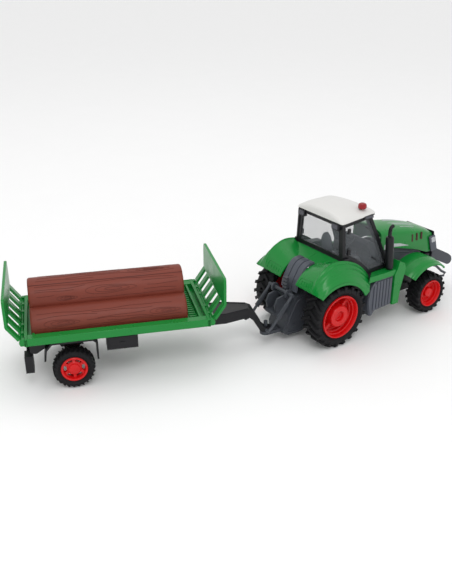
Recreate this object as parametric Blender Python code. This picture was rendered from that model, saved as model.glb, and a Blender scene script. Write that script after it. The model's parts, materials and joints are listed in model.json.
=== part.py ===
"""Toy farm tractor with a hitched log trailer, built as separate moulded pieces.

Lengths in this file are millimetres, which the helpers turn into Blender's metres. The
tractor's own frame has its origin on the ground under the rear axle, +X forward, +Y left
and +Z up. The trailer's own frame has its origin on the ground under the trailer axle.
"""

from math import cos, degrees, hypot, pi, radians, sin, sqrt

import bmesh
import bpy
from mathutils import Matrix, Vector

MM = 0.001
GAP = 0.3

# Where the tractor's frame sits, so that the object's box is centred on the world origin.
TRACTOR_PLACE = (57.37, -47.63, 0.0)

# Wheels: radius over the tread, tread width, radius of the rim's edge, outer face.
WHEELBASE = 160.3
REAR_TYRE_R = 40.0
REAR_TYRE_W = 28.0
REAR_RIM_R = 27.4
REAR_TRACK = 62.0
FRONT_TYRE_R = 27.2
FRONT_TYRE_W = 22.0
FRONT_RIM_R = 18.4
FRONT_TRACK = 60.0
TRAILER_TYRE_R = 23.2
TRAILER_TYRE_W = 17.0
TRAILER_RIM_R = 14.9
TRAILER_TRACK = 52.5
REAR_AXLE_R = 2.5
FRONT_AXLE_R = 2.0
TRAILER_AXLE_R = 1.8

# Friction motor.
GEAR_MODULE = 0.8
WHEEL_TEETH = 26
IDLER_TEETH = 24
PINION_TEETH = 10
GEARBOX_HALF = 15.0
GEARBOX_WALL = 2.2

# Cab.
CAB_REAR_X = 13.5
CAB_TILT = 0.075
CAB_HALF_AT_100 = 43.4
FRAME_THICK = 2.6

BEACON_PLACE = (51.3, -30.0)
EXHAUST_Y = -51.5

# Body panels.
SHELL = 2.0
FENDER_CENTRE = (-3.0, 38.0)
FENDER_R = 48.4
FENDER_RISE = 20.0
FENDER_INNER_RISE = 8.6
FENDER_OUTER_Y = 63.0
FENDER_CREST_Y = 46.4
FENDER_INNER_Y = 15.3
COVER_HALF = 14.6
DECK_HALF = 39.0
DECK_OUTLINE = [(-4.2, 95.2), (4, 98.0), (12.7, 101.6), (12.7, 99.2), (4, 95.6), (-4.2, 92.8)]

# Hitch and trailer.
HITCH_X = -66.0
HITCH_PIN_R = 2.4
HITCH_TO_AXLE = 231.0
LIFT_PIVOT = (-43.6, 64.5)
LIFT_SHAFT_R = 2.0
LIFT_HALF = 21.0
TRAILER_YAW = -21.06
BED_REAR_X = -48.7
BED_FRONT_X = 151.7
BED_HALF = 55.1
BED_BOTTOM_Z = 59.3
BED_TOP_Z = 68.3
BED_FLOOR_Z = 61.5
BED_RAIL = 3.6
BED_LEDGE = 12.0
GATE_PIVOT_OUT = 2.6
GATE_PIVOT_Z = 64.2
GATE_OUT = 16.1
GATE_UP = 15.4
GATE_TALL = 31.5
GATE_THICK = 3.0
GATE_STUB_R = 1.2
GATE_SLOT = 11.6
LOG_R = 20.5
LOG_SPREAD = 20.0
LOG_LOW_Z = 68.0
LOG_TOP_Z = 92.0
LOG_REAR_X = -41.0
LOG_FRONT_X = 129.0
LOG_WALL = 2.0

COLOURS = {
    "green": ((0.012, 0.27, 0.045, 1), 0.32, 0.0),
    "dark_grey": ((0.065, 0.068, 0.078, 1), 0.48, 0.0),
    "step_grey": ((0.11, 0.115, 0.135, 1), 0.45, 0.0),
    "black": ((0.018, 0.018, 0.021, 1), 0.5, 0.0),
    "tyre": ((0.02, 0.02, 0.02, 1), 0.75, 0.0),
    "red": ((0.6, 0.006, 0.01, 1), 0.35, 0.0),
    "white": ((0.82, 0.82, 0.79, 1), 0.35, 0.0),
    "brown": ((0.24, 0.062, 0.042, 1), 0.5, 0.0),
    "glass": ((0.6, 0.62, 0.65, 0.4), 0.08, 0.0),
    "lens": ((0.4, 0.01, 0.02, 1), 0.12, 0.0),
    "steel": ((0.55, 0.55, 0.56, 1), 0.3, 1.0),
    "gear": ((0.75, 0.74, 0.68, 1), 0.4, 0.0),
}

RIGHT, LEFT = -1, 1
SIDES = ((LEFT, "left"), (RIGHT, "right"))


def clear_scene():
    for obj in list(bpy.data.objects):
        bpy.data.objects.remove(obj, do_unlink=True)


def make_materials():
    """One Principled material for each colour of moulding."""
    made = {}
    for name, (colour, roughness, metallic) in COLOURS.items():
        material = bpy.data.materials.new(name)
        material.use_nodes = True
        shader = material.node_tree.nodes["Principled BSDF"]
        shader.inputs["Base Color"].default_value = colour
        shader.inputs["Roughness"].default_value = roughness
        shader.inputs["Metallic"].default_value = metallic
        shader.inputs["Alpha"].default_value = colour[3]
        made[name] = material
    return made


def empty(name, place, turn=0.0, parent=None):
    holder = bpy.data.objects.new(name, None)
    bpy.context.collection.objects.link(holder)
    holder.location = Vector(place) * MM
    holder.rotation_euler = (0, 0, radians(turn))
    holder.parent = parent
    return holder


class Builder:
    """Makes pieces in one frame: points in millimetres, parented to that frame's empty."""

    def __init__(self, parent, materials):
        self.parent = parent
        self.materials = materials

    def from_faces(self, name, points, faces, colour, origin=(0, 0, 0), smooth=30):
        mesh = bpy.data.meshes.new(name)
        origin = Vector(origin)
        mesh.from_pydata([(Vector(p) - origin) * MM for p in points], [], faces)
        tidy_normals(mesh)
        if smooth:
            mesh.shade_smooth()
            mesh.set_sharp_from_angle(angle=radians(smooth))
        obj = bpy.data.objects.new(name, mesh)
        bpy.context.collection.objects.link(obj)
        obj.location = origin * MM
        obj.parent = self.parent
        mesh.materials.append(self.materials[colour])
        return obj

    def loft(self, name, rings, colour, **more):
        """A solid through closed rings of equal count, capped at both ends."""
        return self.from_faces(name, *loft_faces(rings), colour, **more)

    def ring_loft(self, name, rings, colour, **more):
        """A solid through closed rings that themselves close on the first, like a torus."""
        count = len(rings)
        size = len(rings[0])
        points = [p for ring in rings for p in ring]
        faces = []
        for i in range(count):
            for j in range(size):
                k = (i + 1) % count
                m = (j + 1) % size
                faces.append((i * size + j, i * size + m, k * size + m, k * size + j))
        return self.from_faces(name, points, faces, colour, **more)

    def prism(self, name, outline, colour, low, high, plane="xz", **more):
        """An outline in one plane, extruded from low to high along the third axis."""
        rings = [[on_plane(p, level, plane) for p in outline] for level in (low, high)]
        return self.loft(name, rings, colour, **more)

    def box(self, name, low, high, colour, **more):
        outline = rectangle(low[0], low[2], high[0], high[2])
        return self.prism(name, outline, colour, low[1], high[1], **more)

    def rod(self, name, start, end, radius, colour, sides=12, **more):
        """A straight round bar between two points."""
        rings = [circle_about(start, end, radius, sides, at) for at in (start, end)]
        return self.loft(name, rings, colour, **more)

    def sweep(self, name, path, radius, colour, sides=8, **more):
        """A round bar bent along a path of points; radius may be one value for each."""
        radii = radius if isinstance(radius, (list, tuple)) else [radius] * len(path)
        rings = []
        for i, point in enumerate(path):
            before = Vector(path[max(i - 1, 0)])
            after = Vector(path[min(i + 1, len(path) - 1)])
            rings.append(circle_about(before, after, radii[i], sides, point))
        return self.loft(name, rings, colour, **more)

    def frame(self, name, outer, opening, colour, place, **more):
        """A flat frame round one opening: place(point, depth) gives depth 0 and 1 points."""
        rings = []
        for u, v in zip(outer, opening):
            rings.append([place(u, 0), place(u, 1), place(v, 1), place(v, 0)])
        return self.ring_loft(name, rings, colour, **more)

    def turned(self, name, profile, centre, colour, steps=24, **more):
        """A ring turned about a Y axis: profile of (radius, y) points, closed."""
        rings = []
        for i in range(steps):
            angle = 2 * pi * i / steps
            rings.append([polar_y(centre, r, angle, y) for r, y in profile])
        return self.ring_loft(name, rings, colour, **more)

    def panel(self, name, outer, inner, colour, keep=None, **more):
        """A sheet given by two grids of points, with some cells left open."""
        rows = len(outer)
        columns = len(outer[0])
        points = [p for row in outer for p in row] + [p for row in inner for p in row]
        half = rows * columns

        def kept(i, j):
            inside = 0 <= i < rows - 1 and 0 <= j < columns - 1
            return inside and (keep is None or keep(i, j))

        faces = []
        for i in range(rows - 1):
            for j in range(columns - 1):
                if not kept(i, j):
                    continue
                a, b = i * columns + j, i * columns + j + 1
                c, d = b + columns, a + columns
                faces.append((a, b, c, d))
                faces.append((a + half, d + half, c + half, b + half))
                edges = ((a, b, i - 1, j), (b, c, i, j + 1), (c, d, i + 1, j), (d, a, i, j - 1))
                for start, end, near_i, near_j in edges:
                    if not kept(near_i, near_j):
                        faces.append((start, start + half, end + half, end))
        return self.from_faces(name, points, faces, colour, **more)


def tidy_normals(mesh):
    """Drops unused points and turns every face outwards."""
    work = bmesh.new()
    work.from_mesh(mesh)
    loose = [v for v in work.verts if not v.link_faces]
    bmesh.ops.delete(work, geom=loose, context="VERTS")
    bmesh.ops.recalc_face_normals(work, faces=work.faces)
    work.to_mesh(mesh)
    work.free()
    mesh.update()


def loft_faces(rings):
    size = len(rings[0])
    points = [p for ring in rings for p in ring]
    faces = [tuple(range(size)), tuple(range((len(rings) - 1) * size, len(rings) * size))]
    for i in range(len(rings) - 1):
        for j in range(size):
            m = (j + 1) % size
            faces.append((i * size + j, i * size + m, (i + 1) * size + m, (i + 1) * size + j))
    return points, faces


def on_plane(point, level, plane):
    u, v = point
    if plane == "xz":
        return (u, level, v)
    if plane == "xy":
        return (u, v, level)
    return (level, u, v)


def rectangle(u0, v0, u1, v1):
    return [(u0, v0), (u1, v0), (u1, v1), (u0, v1)]


def polar_y(centre, radius, angle, y):
    """A point about a Y axis through centre (x, z); angle 0 is forward, a quarter is up."""
    return (centre[0] + radius * cos(angle), y, centre[1] + radius * sin(angle))


def arc(centre, radius, start, end, steps):
    """Points of an arc in a plane, its angles in degrees."""
    angles = [radians(start + (end - start) * i / steps) for i in range(steps + 1)]
    return [(centre[0] + radius * cos(a), centre[1] + radius * sin(a)) for a in angles]


def circle_about(start, end, radius, sides, at):
    direction = (Vector(end) - Vector(start)).normalized()
    across = direction.orthogonal().normalized() if abs(direction.z) > 0.999 else Vector(
        (0, 0, 1)
    ).cross(direction).normalized()
    other = direction.cross(across)
    ring = []
    for i in range(sides):
        angle = 2 * pi * (i + 0.5) / sides
        ring.append(Vector(at) + radius * (across * cos(angle) + other * sin(angle)))
    return ring


def inset(outline, distance):
    """The outline moved inwards by a distance, corner by corner."""
    count = len(outline)
    area = sum(
        outline[i][0] * outline[(i + 1) % count][1] - outline[(i + 1) % count][0] * outline[i][1]
        for i in range(count)
    )
    turn = 1 if area > 0 else -1
    moved = []
    for i in range(count):
        before = Vector(outline[i - 1])
        here = Vector(outline[i])
        after = Vector(outline[(i + 1) % count])
        first = (here - before).normalized()
        second = (after - here).normalized()
        normal_a = Vector((-first.y, first.x)) * turn
        normal_b = Vector((-second.y, second.x)) * turn
        bisector = (normal_a + normal_b).normalized()
        moved.append(tuple(here + bisector * distance / max(bisector.dot(normal_a), 0.35)))
    return moved


def baked(obj):
    """Applies the modifiers of a piece, so that its cutters can go."""
    graph = bpy.context.evaluated_depsgraph_get()
    bpy.context.view_layer.update()
    mesh = bpy.data.meshes.new_from_object(obj.evaluated_get(graph))
    obj.modifiers.clear()
    obj.data = mesh
    mesh.shade_smooth()
    mesh.set_sharp_from_angle(angle=radians(30))
    return obj


def combine(base, others, operation):
    """Joins pieces into the base, or cuts them from it, and removes them."""
    for other in others:
        modifier = base.modifiers.new(operation.title(), "BOOLEAN")
        modifier.operation = operation
        modifier.object = other
    baked(base)
    for other in others:
        bpy.data.objects.remove(other, do_unlink=True)
    return base


# ---------------------------------------------------------------- wheels


def lugged_tyre(make, name, centre, radius, bore, width, outer_y, side, lugs, lug_height):
    """A tyre with chevron bars across its tread and one bar flat on the ground."""
    middle = side * (outer_y - width / 2)
    half = width / 2
    pitch = 2 * pi / lugs
    bar = 0.24 * pitch
    ramp = 0.07 * pitch
    base = radius - lug_height
    top = radius / cos(bar)
    steps = ((-bar - ramp, base), (-bar, top), (bar, top), (bar + ramp, base))
    skew = 0.30 * pitch
    rows = []
    for lug in range(lugs):
        for offset, reach in steps:
            angle = -pi / 2 + lug * pitch + offset
            row = [
                (bore, -0.76 * half, 0.0),
                (base - 1.2, -1.0 * half, skew),
                (reach - 0.6, -0.88 * half, skew),
                (reach, -0.36 * half, 0.0),
                (reach, 0.36 * half, 0.0),
                (reach - 0.6, 0.88 * half, skew),
                (base - 1.2, 1.0 * half, skew),
                (bore, 0.76 * half, 0.0),
            ]
            rows.append([polar_y(centre, r, angle + turn, middle + y) for r, y, turn in row])
    return make.ring_loft(name, rows, "tyre", origin=(centre[0], middle, centre[1]))


def dished_rim(make, name, centre, edge_r, width, outer_y, side, dish, hub_r, axle_r, steps):
    """A deep-dish rim: edge flange, barrel, web, raised hub, and a bore for the axle."""
    barrel = edge_r - 1.6
    seat = edge_r - GAP
    web = outer_y - dish
    profile = [
        (seat, outer_y - 1.0),
        (barrel, outer_y - 0.4),
        (barrel - 1.2, web),
        (hub_r + 1.0, web),
        (hub_r, web + 0.55 * dish),
        (axle_r + GAP, web + 0.5 * dish),
        (axle_r + GAP, web - 3.0),
        (hub_r + 1.0, web - 2.2),
        (barrel + 0.2, web - 2.2),
        (seat, outer_y - 0.8 * width),
    ]
    turned = [(r, side * y) for r, y in profile]
    return make.turned(name, turned, centre, "red", steps, origin=(centre[0], 0, centre[1]))


def wheel_set(make, prefix, x, spec):
    """Both tyres and rims of one axle and its shaft."""
    radius, width, rim_r, track, dish, hub_r, axle_r, lugs, lug_height, steps = spec
    centre = (x, radius)
    for side, word in SIDES:
        tyre = f"{prefix}_{word}_tyre"
        lugged_tyre(
            make, tyre, centre, radius, rim_r, width, track, side, lugs, lug_height
        )
        rim = f"{prefix}_{word}_rim"
        dished_rim(
            make, rim, centre, rim_r, width, track - 0.8, side, dish, hub_r, axle_r, steps
        )
    reach = track - dish + 1.0
    make.rod(
        f"{prefix}_axle",
        (x, -reach, radius),
        (x, reach, radius),
        axle_r,
        "steel",
        sides=12,
        origin=(x, 0, radius),
    )


# ---------------------------------------------------------------- friction motor


def gear_outline(centre, teeth, phase):
    """Trapezoid teeth on a pitch circle, slightly thin so that pairs run free."""
    pitch_r = GEAR_MODULE * teeth / 2
    tip = pitch_r + 0.9 * GEAR_MODULE
    root = pitch_r - 1.15 * GEAR_MODULE
    step = 2 * pi / teeth
    shape = ((-0.33, root), (-0.13, tip), (0.13, tip), (0.33, root))
    outline = []
    for tooth in range(teeth):
        for part, reach in shape:
            angle = phase + (tooth + part) * step
            outline.append((centre[0] + reach * cos(angle), centre[1] + reach * sin(angle)))
    return outline


def bored_gear(make, name, centre, teeth, phase, low, high, bore):
    """A gear with a round hole for its shaft."""
    outline = gear_outline(centre, teeth, phase)
    hole = [
        (centre[0] + bore * cos(a), centre[1] + bore * sin(a))
        for a in (phase + (t - 1.5) * pi / (2 * teeth) for t in range(4 * teeth))
    ]
    rings = [
        [(u[0], low, u[1]), (u[0], high, u[1]), (v[0], high, v[1]), (v[0], low, v[1])]
        for u, v in zip(outline, hole)
    ]
    return make.ring_loft(name, rings, "gear", origin=(centre[0], 0, centre[1]), smooth=20)


def friction_motor(make):
    """Axle gear, idler and flywheel, in mesh at rest, all on one level."""
    level = REAR_TYRE_R
    first = GEAR_MODULE * (WHEEL_TEETH + PINION_TEETH) / 2
    second = GEAR_MODULE * (IDLER_TEETH + PINION_TEETH) / 2
    idler = (first, level)
    flywheel = (first + second, level)
    bored_gear(make, "rear_axle_gear", (0, level), WHEEL_TEETH, 0.0, -11, -6, REAR_AXLE_R + 0.1)

    pinion_phase = pi + pi / PINION_TEETH
    idler_phase = 0.0
    pinion = make.prism(
        "idler_gear", gear_outline(idler, PINION_TEETH, pinion_phase), "gear", -11.4, -4.2,
        origin=(idler[0], 0, level),
    )
    wheel = make.prism(
        "idler_wheel", gear_outline(idler, IDLER_TEETH, idler_phase), "gear", -4.6, -0.6,
        origin=(idler[0], 0, level),
    )
    shaft = make.rod(
        "idler_shaft", (idler[0], -14, level), (idler[0], 14, level), 1.2, "gear", sides=8,
        origin=(idler[0], 0, level),
    )
    combine(pinion, [wheel, shaft], "UNION")

    mate_phase = pi + pi / PINION_TEETH
    small = make.prism(
        "flywheel", gear_outline(flywheel, PINION_TEETH, mate_phase), "gear", -5.2, 2.4,
        origin=(flywheel[0], 0, level),
    )
    disc = make.rod(
        "disc", (flywheel[0], 2, level), (flywheel[0], 10, level), 11.6, "gear", sides=20,
        origin=(flywheel[0], 0, level),
    )
    shaft = make.rod(
        "flywheel_shaft", (flywheel[0], -14, level), (flywheel[0], 14, level), 1.2, "gear",
        sides=8, origin=(flywheel[0], 0, level),
    )
    combine(small, [disc, shaft], "UNION")
    small.data.materials.clear()
    small.data.materials.append(make.materials["steel"])
    return idler, flywheel


def gearbox(make, idler, flywheel):
    """Two clamshell halves round the motor, bored for the three shafts."""
    outline = [
        (43, 17), (43, 58), (-18, 62), (-33, 56), (-43, 36), (-49, 20),
        (-49, 12), (-42, 8.5), (-24, 8), (-4, 15),
    ]
    hollow = inset(outline, GEARBOX_WALL)
    for side, word in SIDES:
        low, high = sorted((side * 0.15, side * GEARBOX_HALF))
        half = make.prism(f"{word}_gearbox_half", outline, "dark_grey", low, high)
        inner_low, inner_high = sorted((-side * 1.0, side * (GEARBOX_HALF - GEARBOX_WALL)))
        cuts = [make.prism("hollow", hollow, "dark_grey", inner_low, inner_high)]
        for (x, z), radius in (
            ((0, REAR_TYRE_R), REAR_AXLE_R), (idler, 1.2), (flywheel, 1.2)
        ):
            near, far = (x, side * 10, z), (x, side * 18, z)
            cuts.append(make.rod("bore", near, far, radius + 0.35, "dark_grey", sides=12))
        combine(half, cuts, "DIFFERENCE")


# ---------------------------------------------------------------- tractor body


def chassis(make):
    """An open-topped tub from the gearbox to the nose, bored for the front axle."""
    height = 60.0
    outline = [(-15.5, height), (-15.5, 17), (15.5, 17), (15.5, height), (13, height),
               (13, 19.5), (-13, 19.5), (-13, height)]
    tub = make.prism("chassis_tub", outline, "black", 43.6, 200.5, plane="yz")
    bore = make.rod(
        "bore", (WHEELBASE, -20, FRONT_TYRE_R), (WHEELBASE, 20, FRONT_TYRE_R),
        FRONT_AXLE_R + 0.35, "black", sides=12,
    )
    combine(tub, [bore], "DIFFERENCE")


def hitch(make):
    """The tractor's tow bar and its upright pin."""
    round_end = arc((HITCH_X, 0), 7.0, 90, 270, 8)
    outline = [(-49.4, 8.5), *round_end, (-49.4, -8.5)]
    bar = make.prism("tow_bar", outline, "dark_grey", 12.5, 16.5, plane="xy")
    pin = make.rod("pin", (HITCH_X, 0, 14), (HITCH_X, 0, 29), HITCH_PIN_R, "dark_grey", sides=12)
    combine(bar, [pin], "UNION")


def lift_bracket(make):
    """The fixed yoke above the hitch: cheeks, shaft ears and the toothed top link."""
    cheek = [(-36, 56), (-46, 61), (-56, 59), (-60, 50), (-57, 39), (-48, 36), (-44.6, 37)]
    base = make.prism("lift_bracket", rectangle(-60, 37, -45.5, 41), "dark_grey", -9.4, 9.4)
    ear = [(-36, 57), (-36, 61), (-40, 68), (-45, 69.5), (-48, 66), (-48, 61), (-44, 57)]
    others = []
    for side in (LEFT, RIGHT):
        low, high = sorted((side * 7.0, side * 9.4))
        others.append(make.prism("cheek", cheek, "dark_grey", low, high))
        low, high = sorted((side * 11.6, side * 14.4))
        others.append(make.prism("ear", ear, "dark_grey", low, high))
    teeth = [(-36, 57.2), (-34.4, 80)]
    for step in range(5):
        top = 79 - 4.4 * step
        teeth += [(-38.6 - 0.3 * step, top), (-37.0 - 0.3 * step, top - 2.2)]
    others.append(make.prism("rack", teeth, "dark_grey", -3.2, 3.2))
    others.append(make.box("bridge", (-43, -14.4, 57), (-35.4, 14.4, 60), "dark_grey"))
    combine(base, others, "UNION")
    bore = make.rod(
        "bore", (LIFT_PIVOT[0], -20, LIFT_PIVOT[1]), (LIFT_PIVOT[0], 20, LIFT_PIVOT[1]),
        LIFT_SHAFT_R + 0.4, "dark_grey", sides=12,
    )
    combine(base, [bore], "DIFFERENCE")


def lift_arms(make):
    """The swinging three-point arms: a cross shaft, two arms and their hooks."""
    x, z = LIFT_PIVOT
    half = LIFT_HALF
    bar = make.rod(
        "lift_arms", (x, -half - 2, z), (x, half + 2, z), LIFT_SHAFT_R, "dark_grey", sides=10,
        origin=(x, 0, z),
    )
    others = []
    for side in (LEFT, RIGHT):
        y = side * half
        path = [(x, y, z), (-58, y, 47), (-73, y, 30), (-78, y, 27.0), (-81, y, 29.5)]
        others.append(make.sweep("arm", path, 1.9, "dark_grey"))
        low, high = sorted((side * (half - 1.3), side * (half + 1.3)))
        blade = [(-48, 55.5), (-52, 57), (-66, 42), (-62, 37.5)]
        others.append(make.prism("blade", blade, "dark_grey", low, high))
    combine(bar, others, "UNION")


def rear_cover(make):
    """The curved cover over the gearbox, between the rear fenders."""
    outer = [(-33, 62.5), (-30, 75), (-24, 86), (-19.5, 92.5), (-14, 95.8), (-4.6, 96.6)]
    thickness = 2.2
    inner = [(x + thickness * 0.9, z - thickness) for x, z in outer[1:]]
    inner.insert(0, (outer[0][0] + thickness, outer[0][1]))
    inner[-1] = (outer[-1][0], outer[-1][1] - thickness)
    outline = outer + inner[::-1]
    make.prism("rear_cover", outline, "step_grey", -COVER_HALF, COVER_HALF)


def rear_fenders(make):
    """Wide arched fenders, flat at the rear edge and rising to a crest by the cab."""
    behind_cab = (131, 124, 116, 107, 97, 87, 77.2)
    beside_cab = (77, 66, 54, 43, 35, 29)
    for side, word in SIDES:
        outer = []
        inner = []
        for angle in behind_cab + beside_cab:
            inner_y = FENDER_INNER_Y if angle in behind_cab else FENDER_CREST_Y
            section = fender_section(angle, inner_y)
            outer.append([fender_point(angle, y, r, side) for y, r in section])
            lining = [(section[0][0] - SHELL, section[0][1])]
            lining.append((section[1][0] - SHELL, section[1][1] - SHELL))
            lining += [(y, r - SHELL) for y, r in section[2:]]
            inner.append([fender_point(angle, y, r, side) for y, r in lining])
        fender = make.panel(f"{word}_rear_fender", outer, inner, "green")
        low, high = sorted((side * GAP / 2, side * DECK_HALF))
        deck = make.prism("deck", DECK_OUTLINE, "green", low, high)
        combine(fender, [deck], "UNION")


def fender_section(angle, inner_y):
    """(y, radius) across the fender at one angle, from its outer lip to its inner edge."""
    blend = sin(radians(90 * min(1.0, (131 - angle) / 44)))
    flare = 4.0 * max(0.0, (45 - angle) / 16)
    section = [(FENDER_OUTER_Y, FENDER_R + flare - 4.0), (FENDER_OUTER_Y, FENDER_R + flare)]
    for part in (0.3, 0.65, 1.0):
        y = FENDER_OUTER_Y + (FENDER_CREST_Y - FENDER_OUTER_Y) * part
        section.append((y, FENDER_R + flare * (1 - part) + FENDER_RISE * blend * part ** 0.8))
    crest = FENDER_R + FENDER_RISE * blend
    dip = (FENDER_RISE - FENDER_INNER_RISE) * blend if inner_y < FENDER_CREST_Y else 0.0
    for part in (0.45, 1.0):
        y = FENDER_CREST_Y + (inner_y - FENDER_CREST_Y - 0.02) * part
        section.append((y, crest - dip * part))
    return section


def fender_point(angle, y, radius, side):
    turn = radians(angle)
    x = FENDER_CENTRE[0] + radius * cos(turn)
    return (x, side * y, FENDER_CENTRE[1] + radius * sin(turn))


def front_fenders(make):
    """Arched front fenders, standing higher at their rear inner corner."""
    angles = (141, 129, 117, 105, 93, 81, 69, 59)
    for side, word in SIDES:
        outer = []
        inner = []
        for angle in angles:
            part = (angle - 59) / 82
            reach = 39.8 + 7.0 * part ** 0.7
            rise = 3.5 + 8.0 * part
            section = [
                (FRONT_TRACK, reach - 3.0), (FRONT_TRACK, reach), (52, reach + 0.55 * rise),
                (42, reach + rise), (26.5, reach + rise),
            ]
            lining = [(y - SHELL, r) for y, r in section[:1]]
            lining += [(y - SHELL, r - SHELL) for y, r in section[1:2]]
            lining += [(y, r - SHELL) for y, r in section[2:]]
            centre = (WHEELBASE, FRONT_TYRE_R)
            turn = radians(angle)
            outer.append([polar_y(centre, r, turn, side * y) for y, r in section])
            inner.append([polar_y(centre, r, turn, side * y) for y, r in lining])
        make.panel(f"{word}_front_fender", outer, inner, "green")


def cab_half(z):
    """Half-width of the cab over its side frames; the sides lean in towards the roof."""
    return CAB_HALF_AT_100 + (100 - z) * CAB_TILT


SIDE_OUTLINE = [
    (13.0, 104.5), (12.2, 147.3), (57.5, 151.8), (91.0, 79.6), (54.5, 77.0),
    (46.0, 85.5), (37.4, 93.3), (28.0, 99.6), (20.0, 104.0),
]
REAR_OUTLINE = [(-40.2, 102.0), (-36.9, 146.9), (36.9, 146.9), (40.2, 102.0)]
SCREEN_LOW = (88.0, 80.6)
SCREEN_HIGH = (55.6, 151.0)
PILLAR = 4.6


def side_frames(make):
    """Door-side frames of the cab, each with a foot on the fender, and their windows."""
    opening = inset(SIDE_OUTLINE, PILLAR)
    pane = inset(SIDE_OUTLINE, PILLAR + GAP)
    for side, word in SIDES:

        def place(point, depth, side=side):
            return (point[0], side * (cab_half(point[1]) - FRAME_THICK * depth), point[1])

        frame = make.frame(f"{word}_side_frame", SIDE_OUTLINE, opening, "black", place)
        low, high = sorted((side * 41.2, side * 45.8))
        foot = make.prism("foot", rectangle(13.1, 97.0, 21.0, 106.0), "black", low, high)
        combine(frame, [foot], "UNION")
        rings = [[place(p, depth) for p in pane] for depth in (0.25, 0.25 + 0.46)]
        make.loft(f"{word}_side_window", rings, "glass")


def end_frames(make):
    """Rear and front frames of the cab and their windows."""

    def at_rear(point, depth):
        return (CAB_REAR_X + FRAME_THICK * depth, point[0], point[1])

    opening = inset(REAR_OUTLINE, PILLAR)
    make.frame("rear_window_frame", REAR_OUTLINE, opening, "black", at_rear)
    pane = inset(REAR_OUTLINE, PILLAR + GAP)
    rings = [[at_rear(p, depth) for p in pane] for depth in (0.25, 0.7)]
    make.loft("rear_window", rings, "glass")

    low, high = Vector(SCREEN_LOW), Vector(SCREEN_HIGH)
    slope = high - low
    back = Vector((-slope.y, slope.x)).normalized() * FRAME_THICK

    def at_front(point, depth):
        spot = low + slope * point[1] / slope.length + back * depth
        return (spot.x, point[0], spot.y)

    screen = [
        (-(cab_half(low.y) - 3.1), 0), (-(cab_half(high.y) - 3.1), slope.length),
        (cab_half(high.y) - 3.1, slope.length), (cab_half(low.y) - 3.1, 0),
    ]
    make.frame("windscreen_frame", screen, inset(screen, PILLAR), "black", at_front)
    pane = inset(screen, PILLAR + GAP)
    rings = [[at_front(p, depth) for p in pane] for depth in (0.25, 0.7)]
    make.loft("windscreen", rings, "glass")


def cab_interior(make):
    """Floor with its rear wall and dashboard, seat, and steering wheel on its column."""
    floor = make.box("cab_floor", (17, -39, 76), (87, 39, 78.5), "dark_grey")
    wall = make.box("wall", (16.6, -39, 78), (18.6, 39, 100), "dark_grey")
    dash = make.prism("dash", [(70, 78), (84, 78), (80, 92), (68, 98)], "dark_grey", -13, 13)
    combine(floor, [wall, dash], "UNION")

    seat = make.box("seat", (30, -9, 78.9), (44, 9, 87.5), "step_grey")
    cushion = [(25, 87), (50, 87), (52, 92), (28, 93)]
    back = [(24, 88), (31, 88), (27.5, 113), (26, 124), (21.5, 124), (21.5, 110)]
    others = [
        make.prism("cushion", cushion, "step_grey", -11.0, 11.0),
        make.prism("back", back, "step_grey", -9.5, 9.5),
    ]
    combine(seat, others, "UNION")

    hub = Vector((60.5, 0, 106.5))
    foot = Vector((67.2, 0, 98.6))
    axis = (hub - foot).normalized()
    across = Vector((0, 1, 0))
    upward = axis.cross(across)
    rings = []
    for i in range(16):
        angle = 2 * pi * i / 16
        outward = across * cos(angle) + upward * sin(angle)
        spot = hub + outward * 9.0
        rings.append([
            spot + (outward * cos(t) + axis * sin(t)) * 1.1 for t in (2 * pi * k / 6 for k in range(6))
        ])
    wheel = make.ring_loft("steering_wheel", rings, "dark_grey")
    spoke = make.rod("spoke", hub - across * 9, hub + across * 9, 0.9, "dark_grey", sides=6)
    column = make.rod("column", foot, hub, 1.6, "dark_grey", sides=8)
    combine(wheel, [spoke, column], "UNION")


def roof(make):
    """The crowned roof with its drooping front visor."""
    stations = (
        (9.5, 37.5, 147.8, 3.2, 7.0), (13.0, 40.8, 147.9, 4.4, 11.0), (30, 41.3, 149.6, 4.2, 12.4),
        (48, 41.2, 151.4, 2.6, 8.2), (60, 40.0, 152.4, 1.6, 4.8), (66, 36.5, 150.6, 1.8, 4.2),
        (72, 28, 149.0, 1.6, 3.0), (76, 15, 148.2, 1.2, 2.0),
    )
    rings = []
    for x, half, under, edge, crown in stations:
        ring = [(x, half, under), (x, -half, under)]
        for part in (-1.0, -0.84, -0.5, 0.0, 0.5, 0.84, 1.0):
            lift = edge + (crown - edge) * (1 - part * part)
            inside = 0.97 if abs(part) == 1.0 else 1.0
            ring.append((x, half * part * inside, under + lift - (0.8 if inside < 1 else 0)))
        rings.append(ring)
    make.loft("roof", rings, "white")


def beacon(make):
    """The small dome light on the roof."""
    x, y = BEACON_PLACE
    heights = ((157.4, 4.6), (158.4, 4.6), (158.6, 5.3), (161.4, 5.2), (163.2, 4.3), (164.2, 2.4))
    rings = []
    for z, radius in heights:
        rings.append([
            (x + radius * cos(2 * pi * i / 12), y + radius * sin(2 * pi * i / 12), z)
            for i in range(12)
        ])
    make.loft("beacon_lens", rings, "lens")


def exhaust(make):
    """The stack on the right of the cab: a fat sleeve and a thin bent tailpipe."""
    y = EXHAUST_Y
    path = [
        (84.5, y, 79.9), (84.2, y, 81.4), (80.4, y, 119.6), (80.2, y, 121.8), (80.2, y, 122.4),
        (79.8, y, 128.5), (80.9, y, 132.6), (84.6, y, 135.4),
    ]
    radii = [4.7, 5.2, 5.2, 4.4, 2.8, 2.5, 2.5, 2.4]
    make.sweep("exhaust_stack", path, radii, "black", sides=12)


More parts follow.
